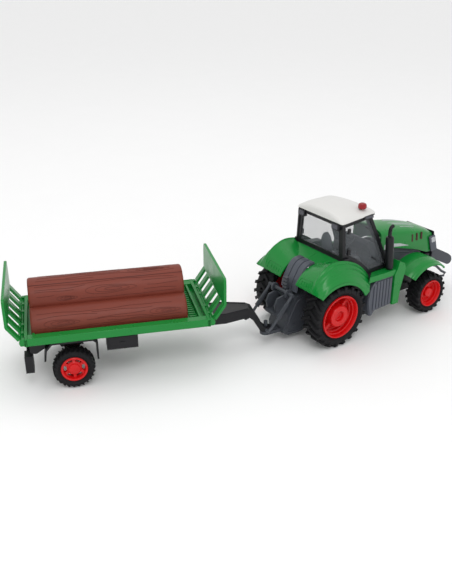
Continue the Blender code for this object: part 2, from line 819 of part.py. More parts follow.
def hood(make):
    """The hood: a U-shaped shell that falls and narrows towards the nose."""
    stations = (
        (94.0, 25.5, 91.0, 119.5, 6.2, 0.0), (118.0, 26.0, 90.5, 117.2, 6.5, 0.0),
        (145.0, 26.0, 83.0, 112.4, 6.5, 0.0), (160.0, 25.5, 78.5, 108.6, 6.0, 0.0),
        (172.0, 25.0, 73.0, 105.0, 5.3, 0.05), (181.0, 24.4, 69.0, 101.8, 4.6, 0.12),
        (191.0, 22.6, 69.4, 97.4, 3.8, 0.27),
    )
    rings = []
    for x, half, low, high, drop, lean in stations:
        outer = [
            (half, low), (half, low + 0.55 * (high - low)), (half - 1.5, high - drop),
            (half - 7.0, high - 0.45 * drop), (0, high),
        ]
        lining = [(u - SHELL, v) for u, v in outer[:2]]
        lining += [(outer[2][0] - SHELL, outer[2][1] - 0.6), (outer[3][0] - 1.0, outer[3][1] - SHELL)]
        lining.append((0, high - SHELL))
        section = outer + [(-u, v) for u, v in outer[-2::-1]]
        section += [(-u, v) for u, v in lining] + lining[-2::-1]
        rings.append([(x + lean * (high - v), u, v) for u, v in section])
    make.loft("hood", rings, "green")

    outline = [(94, 90.2), (118, 89.7), (145, 82.2), (160, 77.7), (172, 72.2), (172, 67), (94, 67)]
    make.prism("engine_block", outline, "dark_grey", -22.8, 22.8)


def nose(make):
    """Grille, headlamp panels, the front weight and the front linkage."""
    grille = [(192.4, 96.4), (199.9, 67.4), (203.6, 67.4), (202.0, 75), (195.8, 96.0)]
    panel = make.prism("front_grille", grille, "black", -26.4, 26.4)
    lamp = [(183.0, 89.5), (194.8, 91.5), (201.6, 69.5), (190.0, 68.0)]
    lamps = []
    for side in (LEFT, RIGHT):
        low, high = sorted((side * 24.9, side * 26.4))
        lamps.append(make.prism("lamp_panel", lamp, "black", low, high))
    combine(panel, lamps, "UNION")

    weight = [
        (204.2, 66.8), (207.5, 67.6), (239, 51), (246.5, 45.5), (248.5, 39), (245.5, 34.5),
        (240, 34.2), (210, 49.5), (204.2, 50.5),
    ]
    make.prism("front_weight", weight, "dark_grey", -17.0, 17.0)

    bar = make.rod(
        "front_linkage", (203.4, -17.5, 43), (203.4, 17.5, 43), 2.0, "dark_grey", sides=8)
    others = []
    for side in (LEFT, RIGHT):
        y = side * 17.0
        path = [(203.4, y, 43), (216, y, 38), (229, y, 27), (237, y, 22.5), (234.5, y, 18.5),
                (228, y, 19.5)]
        others.append(make.sweep("arm", path, 1.8, "dark_grey", sides=6))
    combine(bar, others, "UNION")


def cab_base(make):
    """Green base of the cab: the sill ledges, the cowls ahead of them and the firewall."""
    wall = make.box("cab_base", (89.2, -48, 62), (92.0, 48, 78), "green")
    others = []
    for side in (LEFT, RIGHT):
        ledge = [(59.2, 46.8), (46.0, 57.6), (90.0, 57.6), (90.0, 46.8)]
        ledge = [(x, side * y) for x, y in ledge]
        others.append(make.prism("ledge", ledge, "green", 71.2, 78.4, plane="xy"))
        cowl = [
            (88.6, 31), (99, 31), (100.5, 50), (107, 76), (104.5, 84), (95, 88.5), (92.6, 79),
            (88.6, 72),
        ]
        low, high = sorted((side * 46.6, side * 58.6))
        others.append(make.prism("cowl", cowl, "green", low, high))
    combine(wall, others, "UNION")


def step_boxes(make):
    """Ribbed boxes under the sills, curved behind to clear the rear tyres."""
    outline = [
        (88.0, 31.5), (88.0, 70.1), (60.0, 70.1), (49.5, 61), (47.3, 50), (47.6, 38),
        (51.5, 24), (56.5, 24), (61, 30),
    ]
    for side, word in SIDES:
        low, high = sorted((side * 40, side * 57.2))
        box = make.prism(f"{word}_step_box", outline, "step_grey", low, high)
        inner_low, inner_high = sorted((side * 39, side * (57.2 - SHELL)))
        hollow = make.prism("hollow", inset(outline, SHELL), "step_grey", inner_low, inner_high)
        combine(box, [hollow], "DIFFERENCE")


# ---------------------------------------------------------------- trailer


def trailer_bed(make):
    """The tray with its rails, and the ears that carry the gates."""
    bed = make.box(
        "trailer_bed", (BED_REAR_X, -BED_HALF, BED_BOTTOM_Z), (BED_FRONT_X, BED_HALF, BED_TOP_Z),
        "green",
    )
    ears = []
    cuts = [make.box(
        "tray", (BED_REAR_X + BED_RAIL, -BED_HALF + BED_LEDGE, BED_FLOOR_Z),
        (BED_FRONT_X - BED_RAIL, BED_HALF - BED_LEDGE, BED_TOP_Z + 5), "green",
    )]
    for out, end in ((1, BED_FRONT_X), (-1, BED_REAR_X)):
        pivot = end + out * GATE_PIVOT_OUT
        for side in (LEFT, RIGHT):
            low, high = sorted((side * 49.4, side * 54.6))
            near, far = sorted((end - out * 1.0, pivot + out * 2.8))
            ears.append(make.box(
                "ear", (near, low, BED_BOTTOM_Z + 1.5), (far, high, BED_TOP_Z), "green"))
            cuts.append(make.rod(
                "bore", (pivot, side * 45, GATE_PIVOT_Z), (pivot, side * 57, GATE_PIVOT_Z),
                GATE_STUB_R + 0.4, "green", sides=8))
    combine(bed, ears, "UNION")
    combine(bed, cuts, "DIFFERENCE")


def gate(make, name, end, out):
    """A bent end gate: a slatted slope, an upright panel, and stub pins to swing on."""
    pivot = (end + out * GATE_PIVOT_OUT, 0, GATE_PIVOT_Z)
    bend = (GATE_OUT - GATE_PIVOT_OUT, GATE_UP + BED_TOP_Z - GATE_PIVOT_Z)
    slope = hypot(*bend)
    along = (bend[0] / slope, bend[1] / slope)
    rows = [0.08, 0.30, 0.86, 1.0]
    centre = [(bend[0] * t, bend[1] * t) for t in rows]
    normals = [(along[1], -along[0])] * 3 + [(1.0, -0.30)]
    centre += [(bend[0], bend[1] + GATE_TALL - 5), (bend[0], bend[1] + GATE_TALL)]
    normals += [(1.0, 0.0)] * 2

    bar = (2 * BED_HALF - 5 * GATE_SLOT) / 6
    columns = [-BED_HALF, -BED_HALF + 7.2]
    for slot in range(5):
        start = -BED_HALF + bar + slot * (bar + GATE_SLOT)
        columns += [start, start + GATE_SLOT]
    columns += [BED_HALF - 7.2, BED_HALF]

    def keep(i, j):
        in_slot = j >= 2 and j % 2 == 0 and j <= 10
        if i == 1:
            return not in_slot
        return i > 1 or 0 < j < len(columns) - 2

    grids = []
    for face in (0.5, -0.5):
        grid = []
        for index, ((u, v), normal) in enumerate(zip(centre, normals)):
            row = []
            for y in columns:
                top_corner = index == len(centre) - 1 and abs(y) == BED_HALF
                y = y * 0.955 if top_corner else y
                du = normal[0] * GATE_THICK * face
                dv = normal[1] * GATE_THICK * face
                row.append((pivot[0] + out * (u + du), y, pivot[2] + v + dv))
            grid.append(row)
        grids.append(grid)
    panel = make.panel(name, grids[0], grids[1], "green", keep, origin=pivot)
    spine = make.sweep(
        "spine",
        [(pivot[0], y, pivot[2]) for y in (-53.5, -47.61, -47.6, 47.6, 47.61, 53.5)],
        [GATE_STUB_R, GATE_STUB_R, 2.2, 2.2, GATE_STUB_R, GATE_STUB_R], "green", sides=10,
    )
    combine(panel, [spine], "UNION")


def log_outline(shrink, floor):
    """Three overlapping logs, cut off flat at the floor, as (y, z)."""
    radius = LOG_R - shrink
    low_centre = (LOG_SPREAD, LOG_LOW_Z)
    top_centre = (0.0, LOG_TOP_Z)
    start = -degrees(asin_ratio(LOG_LOW_Z - floor, radius))
    gap = hypot(low_centre[0], top_centre[1] - low_centre[1])
    half_angle = degrees(acos_ratio(gap / 2, radius))
    lean = degrees(acos_ratio(LOG_SPREAD, gap))
    right = arc(low_centre, radius, start, 180 - lean - half_angle, 9)
    top = arc(top_centre, radius, -lean + half_angle, 180 + lean - half_angle, 12)[1:-1]
    left = [(-y, z) for y, z in right[::-1]]
    return right + top + left


def asin_ratio(a, b):
    return pi / 2 - acos_ratio(a, b)


def acos_ratio(a, b):
    ratio = max(-1.0, min(1.0, a / b))
    return 2 * pi / 4 if ratio == 0 else abs(Vector((ratio, sqrt(1 - ratio * ratio))).angle((1, 0)))


def log_load(make):
    """The moulded bundle of three logs, hollow and open underneath."""
    outer = log_outline(0, BED_FLOOR_Z + GAP)
    load = make.prism("log_load", outer, "brown", LOG_REAR_X, LOG_FRONT_X, plane="yz")
    inner = log_outline(LOG_WALL, BED_FLOOR_Z - 3)
    hollow = make.prism(
        "hollow", inner, "brown", LOG_REAR_X + LOG_WALL, LOG_FRONT_X - LOG_WALL, plane="yz")
    combine(load, [hollow], "DIFFERENCE")


def trailer_frame(make):
    """Beam with its tool boxes and the hangers bored for the axle, and the drawbar."""
    beam = make.box("trailer_chassis", (-43, -14, 50.5), (159.8, 14, 58.9), "black")
    parts = [make.box("cross", (-11, -30, 50.5), (11, 30, 58.9), "black")]
    for side in (LEFT, RIGHT):
        low, high = sorted((side * 25.5, side * 30))
        hanger = [(-9, 52), (9, 52), (6, 18), (-6, 18)]
        parts.append(make.prism("hanger", hanger, "black", low, high))
        low, high = sorted((side * 34, side * 50))
        parts.append(make.prism("tool_box", rectangle(37, 41.5, 71, 58.9), "black", low, high))
    parts.append(make.box("outrigger", (46, -36, 52), (62, 36, 58.9), "black"))
    combine(beam, parts, "UNION")
    bore = make.rod(
        "bore", (0, -33, TRAILER_TYRE_R), (0, 33, TRAILER_TYRE_R), TRAILER_AXLE_R + 0.35, "black",
        sides=12)
    combine(beam, [bore], "DIFFERENCE")

    stations = (
        (160.2, 17, 40, 52), (178, 17, 40, 52), (208, 8.6, 40, 51.6), (213, 8.0, 35.5, 49.4),
        (221.5, 7.2, 21, 35), (226, 6.4, 17.2, 25.5), (230, 5.6, 17.2, 22),
    )
    rings = [[(x, -w, a), (x, w, a), (x, w, b), (x, -w, b)] for x, w, a, b in stations]
    drawbar = make.loft("drawbar", rings, "black")
    eye = make.rod("eye", (HITCH_TO_AXLE, 0, 17.2), (HITCH_TO_AXLE, 0, 22), 6.4, "black", sides=16)
    combine(drawbar, [eye], "UNION")
    bore = make.rod(
        "bore", (HITCH_TO_AXLE, 0, 10), (HITCH_TO_AXLE, 0, 30), HITCH_PIN_R + 0.5, "black",
        sides=16)
    combine(drawbar, [bore], "DIFFERENCE")


def trailer_trim(make):
    """Mudguards over the trailer wheels, and the rear bumper."""
    outline = [(27.5, 34), (27.5, 55), (23, 58.8), (-22, 58.8), (-28.5, 51), (-30.5, 38)]
    lining = [(25.7, 34), (25.7, 54), (22, 57.0), (-21, 57.0), (-26.7, 50.4), (-28.7, 38)]
    for side, word in SIDES:
        low, high = sorted((side * 34, side * 53.6))
        make.prism(f"{word}_mudguard", outline + lining[::-1], "black", low, high)

    bumper = make.box("rear_bumper", (-50, -47, 24), (-44.5, 47, 33), "black")
    parts = []
    for side in (LEFT, RIGHT):
        low, high = sorted((side * 33, side * 48))
        parts.append(make.prism("flap", rectangle(-51, 23.0, -42, 43), "black", low, high))
        low, high = sorted((side * 20, side * 26))
        parts.append(make.prism("hanger", rectangle(-49, 30, -45, 58.9), "black", low, high))
    combine(bumper, parts, "UNION")


def build():
    clear_scene()
    materials = make_materials()
    tractor = empty("tractor_frame", TRACTOR_PLACE)
    make = Builder(tractor, materials)
    wheel_set(make, "rear", 0.0, (
        REAR_TYRE_R, REAR_TYRE_W, REAR_RIM_R, REAR_TRACK, 13.0, 12.5, REAR_AXLE_R, 18, 3.0, 20))
    wheel_set(make, "front", WHEELBASE, (
        FRONT_TYRE_R, FRONT_TYRE_W, FRONT_RIM_R, FRONT_TRACK, 8.0, 6.0, FRONT_AXLE_R, 14, 2.4, 16))
    idler, flywheel = friction_motor(make)
    gearbox(make, idler, flywheel)
    chassis(make)
    hitch(make)
    lift_bracket(make)
    lift_arms(make)
    rear_cover(make)
    rear_fenders(make)
    front_fenders(make)
    side_frames(make)
    end_frames(make)
    cab_interior(make)
    roof(make)
    beacon(make)
    exhaust(make)
    hood(make)
    nose(make)
    cab_base(make)
    step_boxes(make)

    turn = radians(TRAILER_YAW)
    place = (HITCH_X - HITCH_TO_AXLE * cos(turn), -HITCH_TO_AXLE * sin(turn), 0)
    trailer = empty("trailer_frame", place, TRAILER_YAW, tractor)
    make = Builder(trailer, materials)
    wheel_set(make, "trailer", 0.0, (
        TRAILER_TYRE_R, TRAILER_TYRE_W, TRAILER_RIM_R, TRAILER_TRACK, 4.0, 6.5, TRAILER_AXLE_R,
        14, 1.6, 16))
    trailer_bed(make)
    gate(make, "front_gate", BED_FRONT_X, 1)
    gate(make, "rear_gate", BED_REAR_X, -1)
    log_load(make)
    trailer_frame(make)
    trailer_trim(make)


build()
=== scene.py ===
"""Looks for a toy tractor and its hitched log trailer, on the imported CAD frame.

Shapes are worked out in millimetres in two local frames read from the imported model: the
tractor's, with its origin on the ground under the rear axle, and the trailer's, under its
own axle. Both have +X forward, +Y left and +Z up.
"""

import json
from math import asin, atan2, copysign, cos, degrees, exp, hypot, pi, radians, sin, sqrt

import bmesh
import bpy
from mathutils import Matrix, Vector


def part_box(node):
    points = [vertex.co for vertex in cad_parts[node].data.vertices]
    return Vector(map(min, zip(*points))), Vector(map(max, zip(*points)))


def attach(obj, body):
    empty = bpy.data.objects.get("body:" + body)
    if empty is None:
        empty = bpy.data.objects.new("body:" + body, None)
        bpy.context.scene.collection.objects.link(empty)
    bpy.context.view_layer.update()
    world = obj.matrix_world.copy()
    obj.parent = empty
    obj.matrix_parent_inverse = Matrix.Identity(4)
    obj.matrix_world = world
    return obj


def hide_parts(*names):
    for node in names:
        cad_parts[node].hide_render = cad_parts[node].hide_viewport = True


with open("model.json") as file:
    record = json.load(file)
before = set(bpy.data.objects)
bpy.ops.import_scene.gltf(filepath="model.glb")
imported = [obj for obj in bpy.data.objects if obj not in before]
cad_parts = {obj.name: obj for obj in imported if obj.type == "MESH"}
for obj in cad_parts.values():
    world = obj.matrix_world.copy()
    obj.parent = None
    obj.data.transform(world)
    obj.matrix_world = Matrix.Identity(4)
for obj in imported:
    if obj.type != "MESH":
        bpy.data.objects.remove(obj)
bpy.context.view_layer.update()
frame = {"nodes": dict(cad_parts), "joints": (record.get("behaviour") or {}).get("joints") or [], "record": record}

MM = 0.001
SIDES = ((1, "left"), (-1, "right"))


def middle(node):
    low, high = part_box(node)
    return (Vector(low) + Vector(high)) / 2


def ground_frame(axle, heading):
    """A frame on the ground under an axle, as a matrix from its millimetres to metres."""
    centre = middle(axle)
    place = Matrix.Translation((centre.x, centre.y, 0)) @ Matrix.Rotation(heading, 4, "Z")
    return place @ Matrix.Scale(MM, 4)


TURN = next(joint for joint in frame["joints"] if joint["name"] == "trailer_axle_spin")
TRAILER_YAW = atan2(-TURN["axis"][0], TURN["axis"][1])
TRACTOR = ground_frame("rear_axle", 0.0)
TRAILER = ground_frame("trailer_axle", TRAILER_YAW)


# ---------------------------------------------------------------- materials


class Nodes:
    """Short helpers to build a node material."""

    def __init__(self, name):
        self.material = bpy.data.materials.new(name)
        self.material.use_nodes = True
        self.tree = self.material.node_tree
        self.shader = self.tree.nodes["Principled BSDF"]
        self.place = self.node("ShaderNodeTexCoord").outputs["Object"]

    def fill(self, socket, value):
        """Gives a socket a value of its own, or links another node's output to it."""
        if isinstance(value, bpy.types.NodeSocket):
            self.tree.links.new(value, socket)
        else:
            socket.default_value = value

    def node(self, kind, inputs=(), **settings):
        made = self.tree.nodes.new(kind)
        for key, value in settings.items():
            setattr(made, key, value)
        for key, value in dict(inputs).items():
            self.fill(made.inputs[key], value)
        return made

    def noise(self, scale, detail, roughness, stretch=None):
        source = self.place
        if stretch:
            mapping = self.node("ShaderNodeMapping", {"Scale": stretch, "Vector": source})
            source = mapping.outputs["Vector"]
        inputs = {"Scale": scale, "Detail": detail, "Roughness": roughness, "Vector": source}
        return self.node("ShaderNodeTexNoise", inputs).outputs["Fac"]

    def between(self, factor, low, high):
        """Spreads a noise's usual range over low to high."""
        inputs = {"From Min": 0.3, "From Max": 0.7, "To Min": low, "To Max": high}
        return self.node("ShaderNodeMapRange", {**inputs, "Value": factor}).outputs["Result"]

    def blend(self, factor, first, second):
        inputs = {"Factor": factor, "A": (*first, 1), "B": (*second, 1)}
        return self.node("ShaderNodeMix", inputs, data_type="RGBA").outputs["Result"]

    def bump(self, height, strength, distance):
        inputs = {"Strength": strength, "Distance": distance, "Height": height}
        return self.node("ShaderNodeBump", inputs).outputs["Normal"]

    def finish(self, **values):
        """Fills the shader's sockets, named with _ for each space, and returns the material."""
        for key, value in values.items():
            self.fill(self.shader.inputs[key.replace("_", " ")], value)
        return self.material


def shade(colour, factor):
    return tuple(min(1.0, c * factor) for c in colour)


def moulded(name, colour, roughness, coat=0.0, vary=0.10, grain=0.12):
    """Injection-moulded plastic: faint flow variation, uneven gloss and a fine grain."""
    nodes = Nodes(name)
    flow = nodes.noise(14.0, 4.0, 0.55)
    patches = nodes.noise(55.0, 5.0, 0.6)
    return nodes.finish(
        Base_Color=nodes.blend(flow, shade(colour, 1 - vary), shade(colour, 1 + vary)),
        Roughness=nodes.between(patches, roughness * 0.82, roughness * 1.2),
        Normal=nodes.bump(nodes.noise(1500.0, 2.0, 0.5), grain, 0.0002),
        Coat_Weight=coat, Coat_Roughness=0.10, IOR=1.5, Specular_IOR_Level=0.3)


def rubber(name, colour):
    """Soft vinyl tyre: matt, with a dusty bloom and a pebbled skin."""
    nodes = Nodes(name)
    bloom = tuple(c * 1.8 + 0.003 for c in colour)
    return nodes.finish(
        Base_Color=nodes.blend(nodes.noise(38.0, 6.0, 0.65), colour, bloom),
        Roughness=nodes.between(nodes.noise(90.0, 4.0, 0.6), 0.52, 0.72),
        Normal=nodes.bump(nodes.noise(900.0, 3.0, 0.6), 0.22, 0.0003),
        IOR=1.45, Specular_IOR_Level=0.2)


def bark(name, darker, lighter):
    """Brown plastic with a shallow moulded wood grain along the logs."""
    nodes = Nodes(name)
    grain = nodes.noise(150.0, 5.0, 0.6, stretch=(0.10, 1.0, 1.0))
    return nodes.finish(
        Base_Color=nodes.blend(grain, darker, lighter), Roughness=nodes.between(grain, 0.40, 0.56),
        Normal=nodes.bump(grain, 0.35, 0.0006), Specular_IOR_Level=0.3)


def clear(name, tint, alpha):
    """Thin transparent plastic with faint ripples."""
    nodes = Nodes(name)
    ripple = nodes.noise(30.0, 2.0, 0.4)
    return nodes.finish(
        Base_Color=nodes.blend(ripple, tint, shade(tint, 0.94)),
        Normal=nodes.bump(ripple, 0.04, 0.001),
        Roughness=0.05, Alpha=alpha, IOR=1.49, Specular_IOR_Level=0.35)


def lens(name, deeper, lighter):
    """Deep coloured beacon plastic with a gloss of its own."""
    nodes = Nodes(name)
    return nodes.finish(
        Base_Color=nodes.blend(nodes.noise(120.0, 3.0, 0.5), deeper, lighter),
        Roughness=0.15, Specular_IOR_Level=0.4, Coat_Weight=0.15, Coat_Roughness=0.05)


def metal(name, colour, roughness):
    """Plated steel with fine turning marks."""
    nodes = Nodes(name)
    marks = nodes.noise(700.0, 4.0, 0.6, stretch=(1.0, 1.0, 0.2))
    return nodes.finish(
        Base_Color=nodes.blend(marks, shade(colour, 0.8), colour),
        Roughness=nodes.between(marks, roughness * 0.7, roughness * 1.35),
        Normal=nodes.bump(marks, 0.08, 0.0002), Metallic=1.0)


LOOKS = {name: maker(name, *settings) for name, maker, *settings in (
    # name, maker, colour, roughness, clear coat, variation
    ("green_plastic", moulded, (0.004, 0.205, 0.030), 0.30, 0.08),
    ("dark_grey_plastic", moulded, (0.050, 0.055, 0.066), 0.36),
    ("grey_plastic", moulded, (0.076, 0.084, 0.104), 0.38),
    ("black_plastic", moulded, (0.006, 0.006, 0.008), 0.40),
    ("white_plastic", moulded, (0.66, 0.655, 0.635), 0.34, 0.1, 0.02),
    ("red_plastic", moulded, (0.58, 0.004, 0.005), 0.30, 0.08, 0.05),
    ("gear_nylon", moulded, (0.74, 0.72, 0.65), 0.45, 0.0, 0.04),
    ("silver_print", moulded, (0.46, 0.48, 0.50), 0.30, 0.0, 0.03),
    ("slot_red", moulded, (0.060, 0.010, 0.010), 0.5),
    # Darker grain lines on the logs, also used for the painted shade lines along the strip's edges.
    ("bark_line", moulded, (0.080, 0.014, 0.009), 0.6),
    ("tyre_rubber", rubber, (0.006, 0.006, 0.007)),
    ("steel", metal, (0.58, 0.58, 0.60), 0.3),
    # name, maker, darker and lighter colour
    ("brown_plastic", bark, (0.150, 0.027, 0.015), (0.205, 0.042, 0.025)),
    ("beacon_red", lens, (0.20, 0.001, 0.004), (0.32, 0.003, 0.008)),
    # name, maker, tint, alpha
    ("clear_plastic", clear, (0.26, 0.28, 0.30), 0.15),
    ("lamp_clear", clear, (0.85, 0.87, 0.9), 0.55),
    ("lamp_dark", clear, (0.10, 0.10, 0.12), 0.8),
)}
CAD_EDGE = 0.35
EDGE_ANGLE = 38


def finish_cad_nodes():
    """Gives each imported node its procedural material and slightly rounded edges."""
    for part in frame["record"]["subparts"]:
        node = frame["nodes"][part["node"]]
        for slot in node.material_slots:
            slot.material = LOOKS[part["material_slot"]]
        if not node.material_slots:
            node.data.materials.append(LOOKS[part["material_slot"]])
        round_edges(node, CAD_EDGE)


def round_edges(obj, width, segments=2):
    """Rounds an object's sharp edges by a width in millimetres."""
    modifier = obj.modifiers.new("rounding", "BEVEL")
    modifier.width = width * MM
    modifier.segments = segments
    modifier.limit_method = "ANGLE"
    modifier.angle_limit = radians(EDGE_ANGLE)
    modifier.use_clamp_overlap = True


def add_object(name, data):
    made = bpy.data.objects.new(name, data)
    bpy.context.scene.collection.objects.link(made)
    return made


# ---------------------------------------------------------------- shapes


def spline(rows, steps):
    """A smooth curve through rows of numbers, with steps points between two rows."""
    found = []
    last = len(rows) - 1
    for i in range(last):
        a, b, c, d = (rows[max(0, min(last, i + k))] for k in (-1, 0, 1, 2))
        for step in range(steps):
            t = step / steps
            found.append(tuple(
                0.5 * (2 * q + (r - p) * t + (2 * p - 5 * q + 4 * r - w) * t * t
                       + (3 * q - p - 3 * r + w) * t ** 3)
                for p, q, r, w in zip(a, b, c, d)
            ))
    found.append(tuple(rows[last]))
    return found


def turns(count):
    """Angles evenly placed round a circle."""
    return [2 * pi * k / count for k in range(count)]


def arc(centre, radius, start, end, steps):
    """Points of a flat arc, its angles in degrees."""
    angles = [radians(start + (end - start) * i / steps) for i in range(steps + 1)]
    return [(centre[0] + radius * cos(a), centre[1] + radius * sin(a)) for a in angles]


def rounded(outline, radius, steps=4):
    """The outline with each corner cut by a small smooth curve."""
    found = []
    count = len(outline)
    for i in range(count):
        before = Vector(outline[i - 1])
        here = Vector(outline[i])
        after = Vector(outline[(i + 1) % count])
        reach = min(radius, (before - here).length * 0.45, (after - here).length * 0.45)
        start = here + (before - here).normalized() * reach
        end = here + (after - here).normalized() * reach
        for step in range(steps + 1):
            t = step / steps
            found.append(tuple(start * (1 - t) ** 2 + here * 2 * t * (1 - t) + end * t * t))
    return found


def rectangle(u0, v0, u1, v1):
    return [(u0, v0), (u1, v0), (u1, v1), (u0, v1)]


def tablet(u0, v0, u1, v1, radius):
    return rounded(rectangle(u0, v0, u1, v1), radius)


def polar_y(centre, radius, angle, y):
    """A point at a radius and an angle about an axis along Y."""
    return (centre[0] + radius * cos(angle), y, centre[1] + radius * sin(angle))


def polar_x(centre, radius, angle, x):
    """A point at a radius and an angle about an axis along X."""
    return (x, centre[0] + radius * cos(angle), centre[1] + radius * sin(angle))


def circle_about(path, i, radius, sides):
    """A ring of points square to a path at its point i."""
    before = Vector(path[max(i - 1, 0)])
    after = Vector(path[min(i + 1, len(path) - 1)])
    direction = (after - before).normalized()
    guide = Vector((1, 0, 0)) if abs(direction.z) > 0.99 else Vector((0, 0, 1))
    across = guide.cross(direction).normalized()
    other = direction.cross(across)
    return [Vector(path[i]) + radius * (across * cos(a) + other * sin(a)) for a in turns(sides)]


def at_x(x, outline):
    """An outline of (y, z) points set up at a distance forward."""
    return [(x, y, z) for y, z in outline]


def on_side(y, outline):
    """An outline of (x, z) points set up at a distance out."""
    return [(x, y, z) for x, z in outline]


class Shape:
    """Closed solids collected into one piece, in one local frame, in millimetres."""

    def __init__(self, place):
        self.place = place
        self.points = []
        self.faces = []

    def add(self, points, faces):
        start = len(self.points)
        self.points += [Vector(p) for p in points]
        self.faces += [tuple(start + i for i in face) for face in faces]

    def loft(self, rings, loop=False):
        """A solid through closed rings, capped at the ends or closed on itself."""
        size = len(rings[0])
        count = len(rings)
        points = [p for ring in rings for p in ring]
        faces = []
        if not loop:
            faces = [tuple(range(size)), tuple(range((count - 1) * size, count * size))]
        for i in range(count if loop else count - 1):
            k = (i + 1) % count
            for j in range(size):
                m = (j + 1) % size
                faces.append((i * size + j, i * size + m, k * size + m, k * size + j))
        self.add(points, faces)

    def prism(self, outline, low, high, plane="xz"):
        """An outline extruded from low to high along the plane's third axis."""
        order = {"xz": (0, 2, 1), "xy": (0, 1, 2), "yz": (1, 2, 0)}[plane]
        rings = []
        for level in (low, high):
            ring = []
            for u, v in outline:
                point = [0.0, 0.0, 0.0]
                point[order[0]], point[order[1]], point[order[2]] = u, v, level
                ring.append(tuple(point))
            rings.append(ring)
        self.loft(rings)

    def pair(self, outline, near, far):
        """One outline extruded on both sides of the middle plane."""
        for side in (1, -1):
            self.prism(outline, side * near, side * far)

    def box(self, low, high):
        self.prism(rectangle(low[0], low[2], high[0], high[2]), low[1], high[1])

    def sweep(self, path, radii, sides=16):
        if not isinstance(radii, (list, tuple)):
            radii = [radii] * len(path)
        self.loft([circle_about(path, i, radii[i], sides) for i in range(len(path))])

    def rod(self, start, end, radius, sides=20):
        self.sweep([start, end], radius, sides)

    def lathe(self, profile, centre, steps=72):
        """A ring turned about a Y axis from a closed profile of (radius, y)."""
        self.loft([[polar_y(centre, r, a, y) for r, y in profile] for a in turns(steps)], loop=True)

    def dome(self, centre, radius, height, axis, sides=16, rows=4):
        """A low round head standing along an axis, with a flat back."""
        axis = Vector(axis).normalized()
        across = axis.orthogonal().normalized()
        other = axis.cross(across)
        rings = []
        for row in range(rows + 1):
            t = 0.5 * pi * row / rows
            reach = max(radius * cos(t), 0.02 * radius)
            level = Vector(centre) + axis * height * sin(t)
            rings.append([level + reach * (across * cos(a) + other * sin(a)) for a in turns(sides)])
        self.loft(rings)

    def washer(self, centre, inner, outer, height, steps=28):
        """A flat ring standing on a point, about a vertical axis."""
        section = ((inner, 0), (outer, 0), (outer - 0.2, height), (inner, height))
        self.loft([
            [Vector(centre) + Vector((r * cos(a), r * sin(a), z)) for r, z in section]
            for a in turns(steps)
        ], loop=True)

    def sheet(self, outer, inner, keep=lambda i, j: True):
        """A closed sheet between two grids of points, with some cells left open."""
        rows, columns = len(outer), len(outer[0])
        half = rows * columns
        cells = {(i, j) for i in range(rows - 1) for j in range(columns - 1) if keep(i, j)}
        faces = []
        for i, j in sorted(cells):
            a, b = i * columns + j, i * columns + j + 1
            c, d = b + columns, a + columns
            faces += [(a, b, c, d), (a + half, d + half, c + half, b + half)]
            edges = ((a, b, i - 1, j), (b, c, i, j + 1), (c, d, i + 1, j), (d, a, i, j - 1))
            for start, end, *beyond in edges:
                if tuple(beyond) not in cells:
                    faces.append((start, start + half, end + half, end))
        self.add([p for grid in (outer, inner) for row in grid for p in row], faces)

    def make(self, name, look, body="tractor", replaces=(), smooth=35, bevel=0.0, segments=2):
        """Turns the solids into one object that rides on a body of the frame."""
        mesh = bpy.data.meshes.new(name)
        mesh.from_pydata([self.place @ p for p in self.points], [], self.faces)
        work = bmesh.new()
        work.from_mesh(mesh)
        loose = [v for v in work.verts if not v.link_faces]
        bmesh.ops.delete(work, geom=loose, context="VERTS")
        bmesh.ops.recalc_face_normals(work, faces=work.faces)
        work.to_mesh(mesh)
        work.free()
        mesh.shade_smooth()
        mesh.set_sharp_from_angle(angle=radians(smooth))
        mesh.materials.append(LOOKS[look])
        obj = add_object(name, mesh)
        if bevel:
            round_edges(obj, bevel, segments)
        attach(obj, body)
        if replaces:
            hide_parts(*replaces)

    def stand_in(self, node, look, body="tractor", **settings):
        """The object that is shown in place of one CAD node."""
        self.make(f"{node}_fine", look, body, [node], **settings)


# ---------------------------------------------------------------- wheels

WHEELS = {
    # prefix: (body, frame, rim edge radius, tread width, outer face, lugs, lug height)
    "rear": ("rear_wheels", TRACTOR, 27.4, 28.0, 62.0, 20, 3.4),
    "front": ("front_wheels", TRACTOR, 18.4, 22.0, 60.0, 18, 2.6),
    "trailer": ("trailer_wheels", TRAILER, 14.9, 17.0, 52.5, 26, 1.5),
}

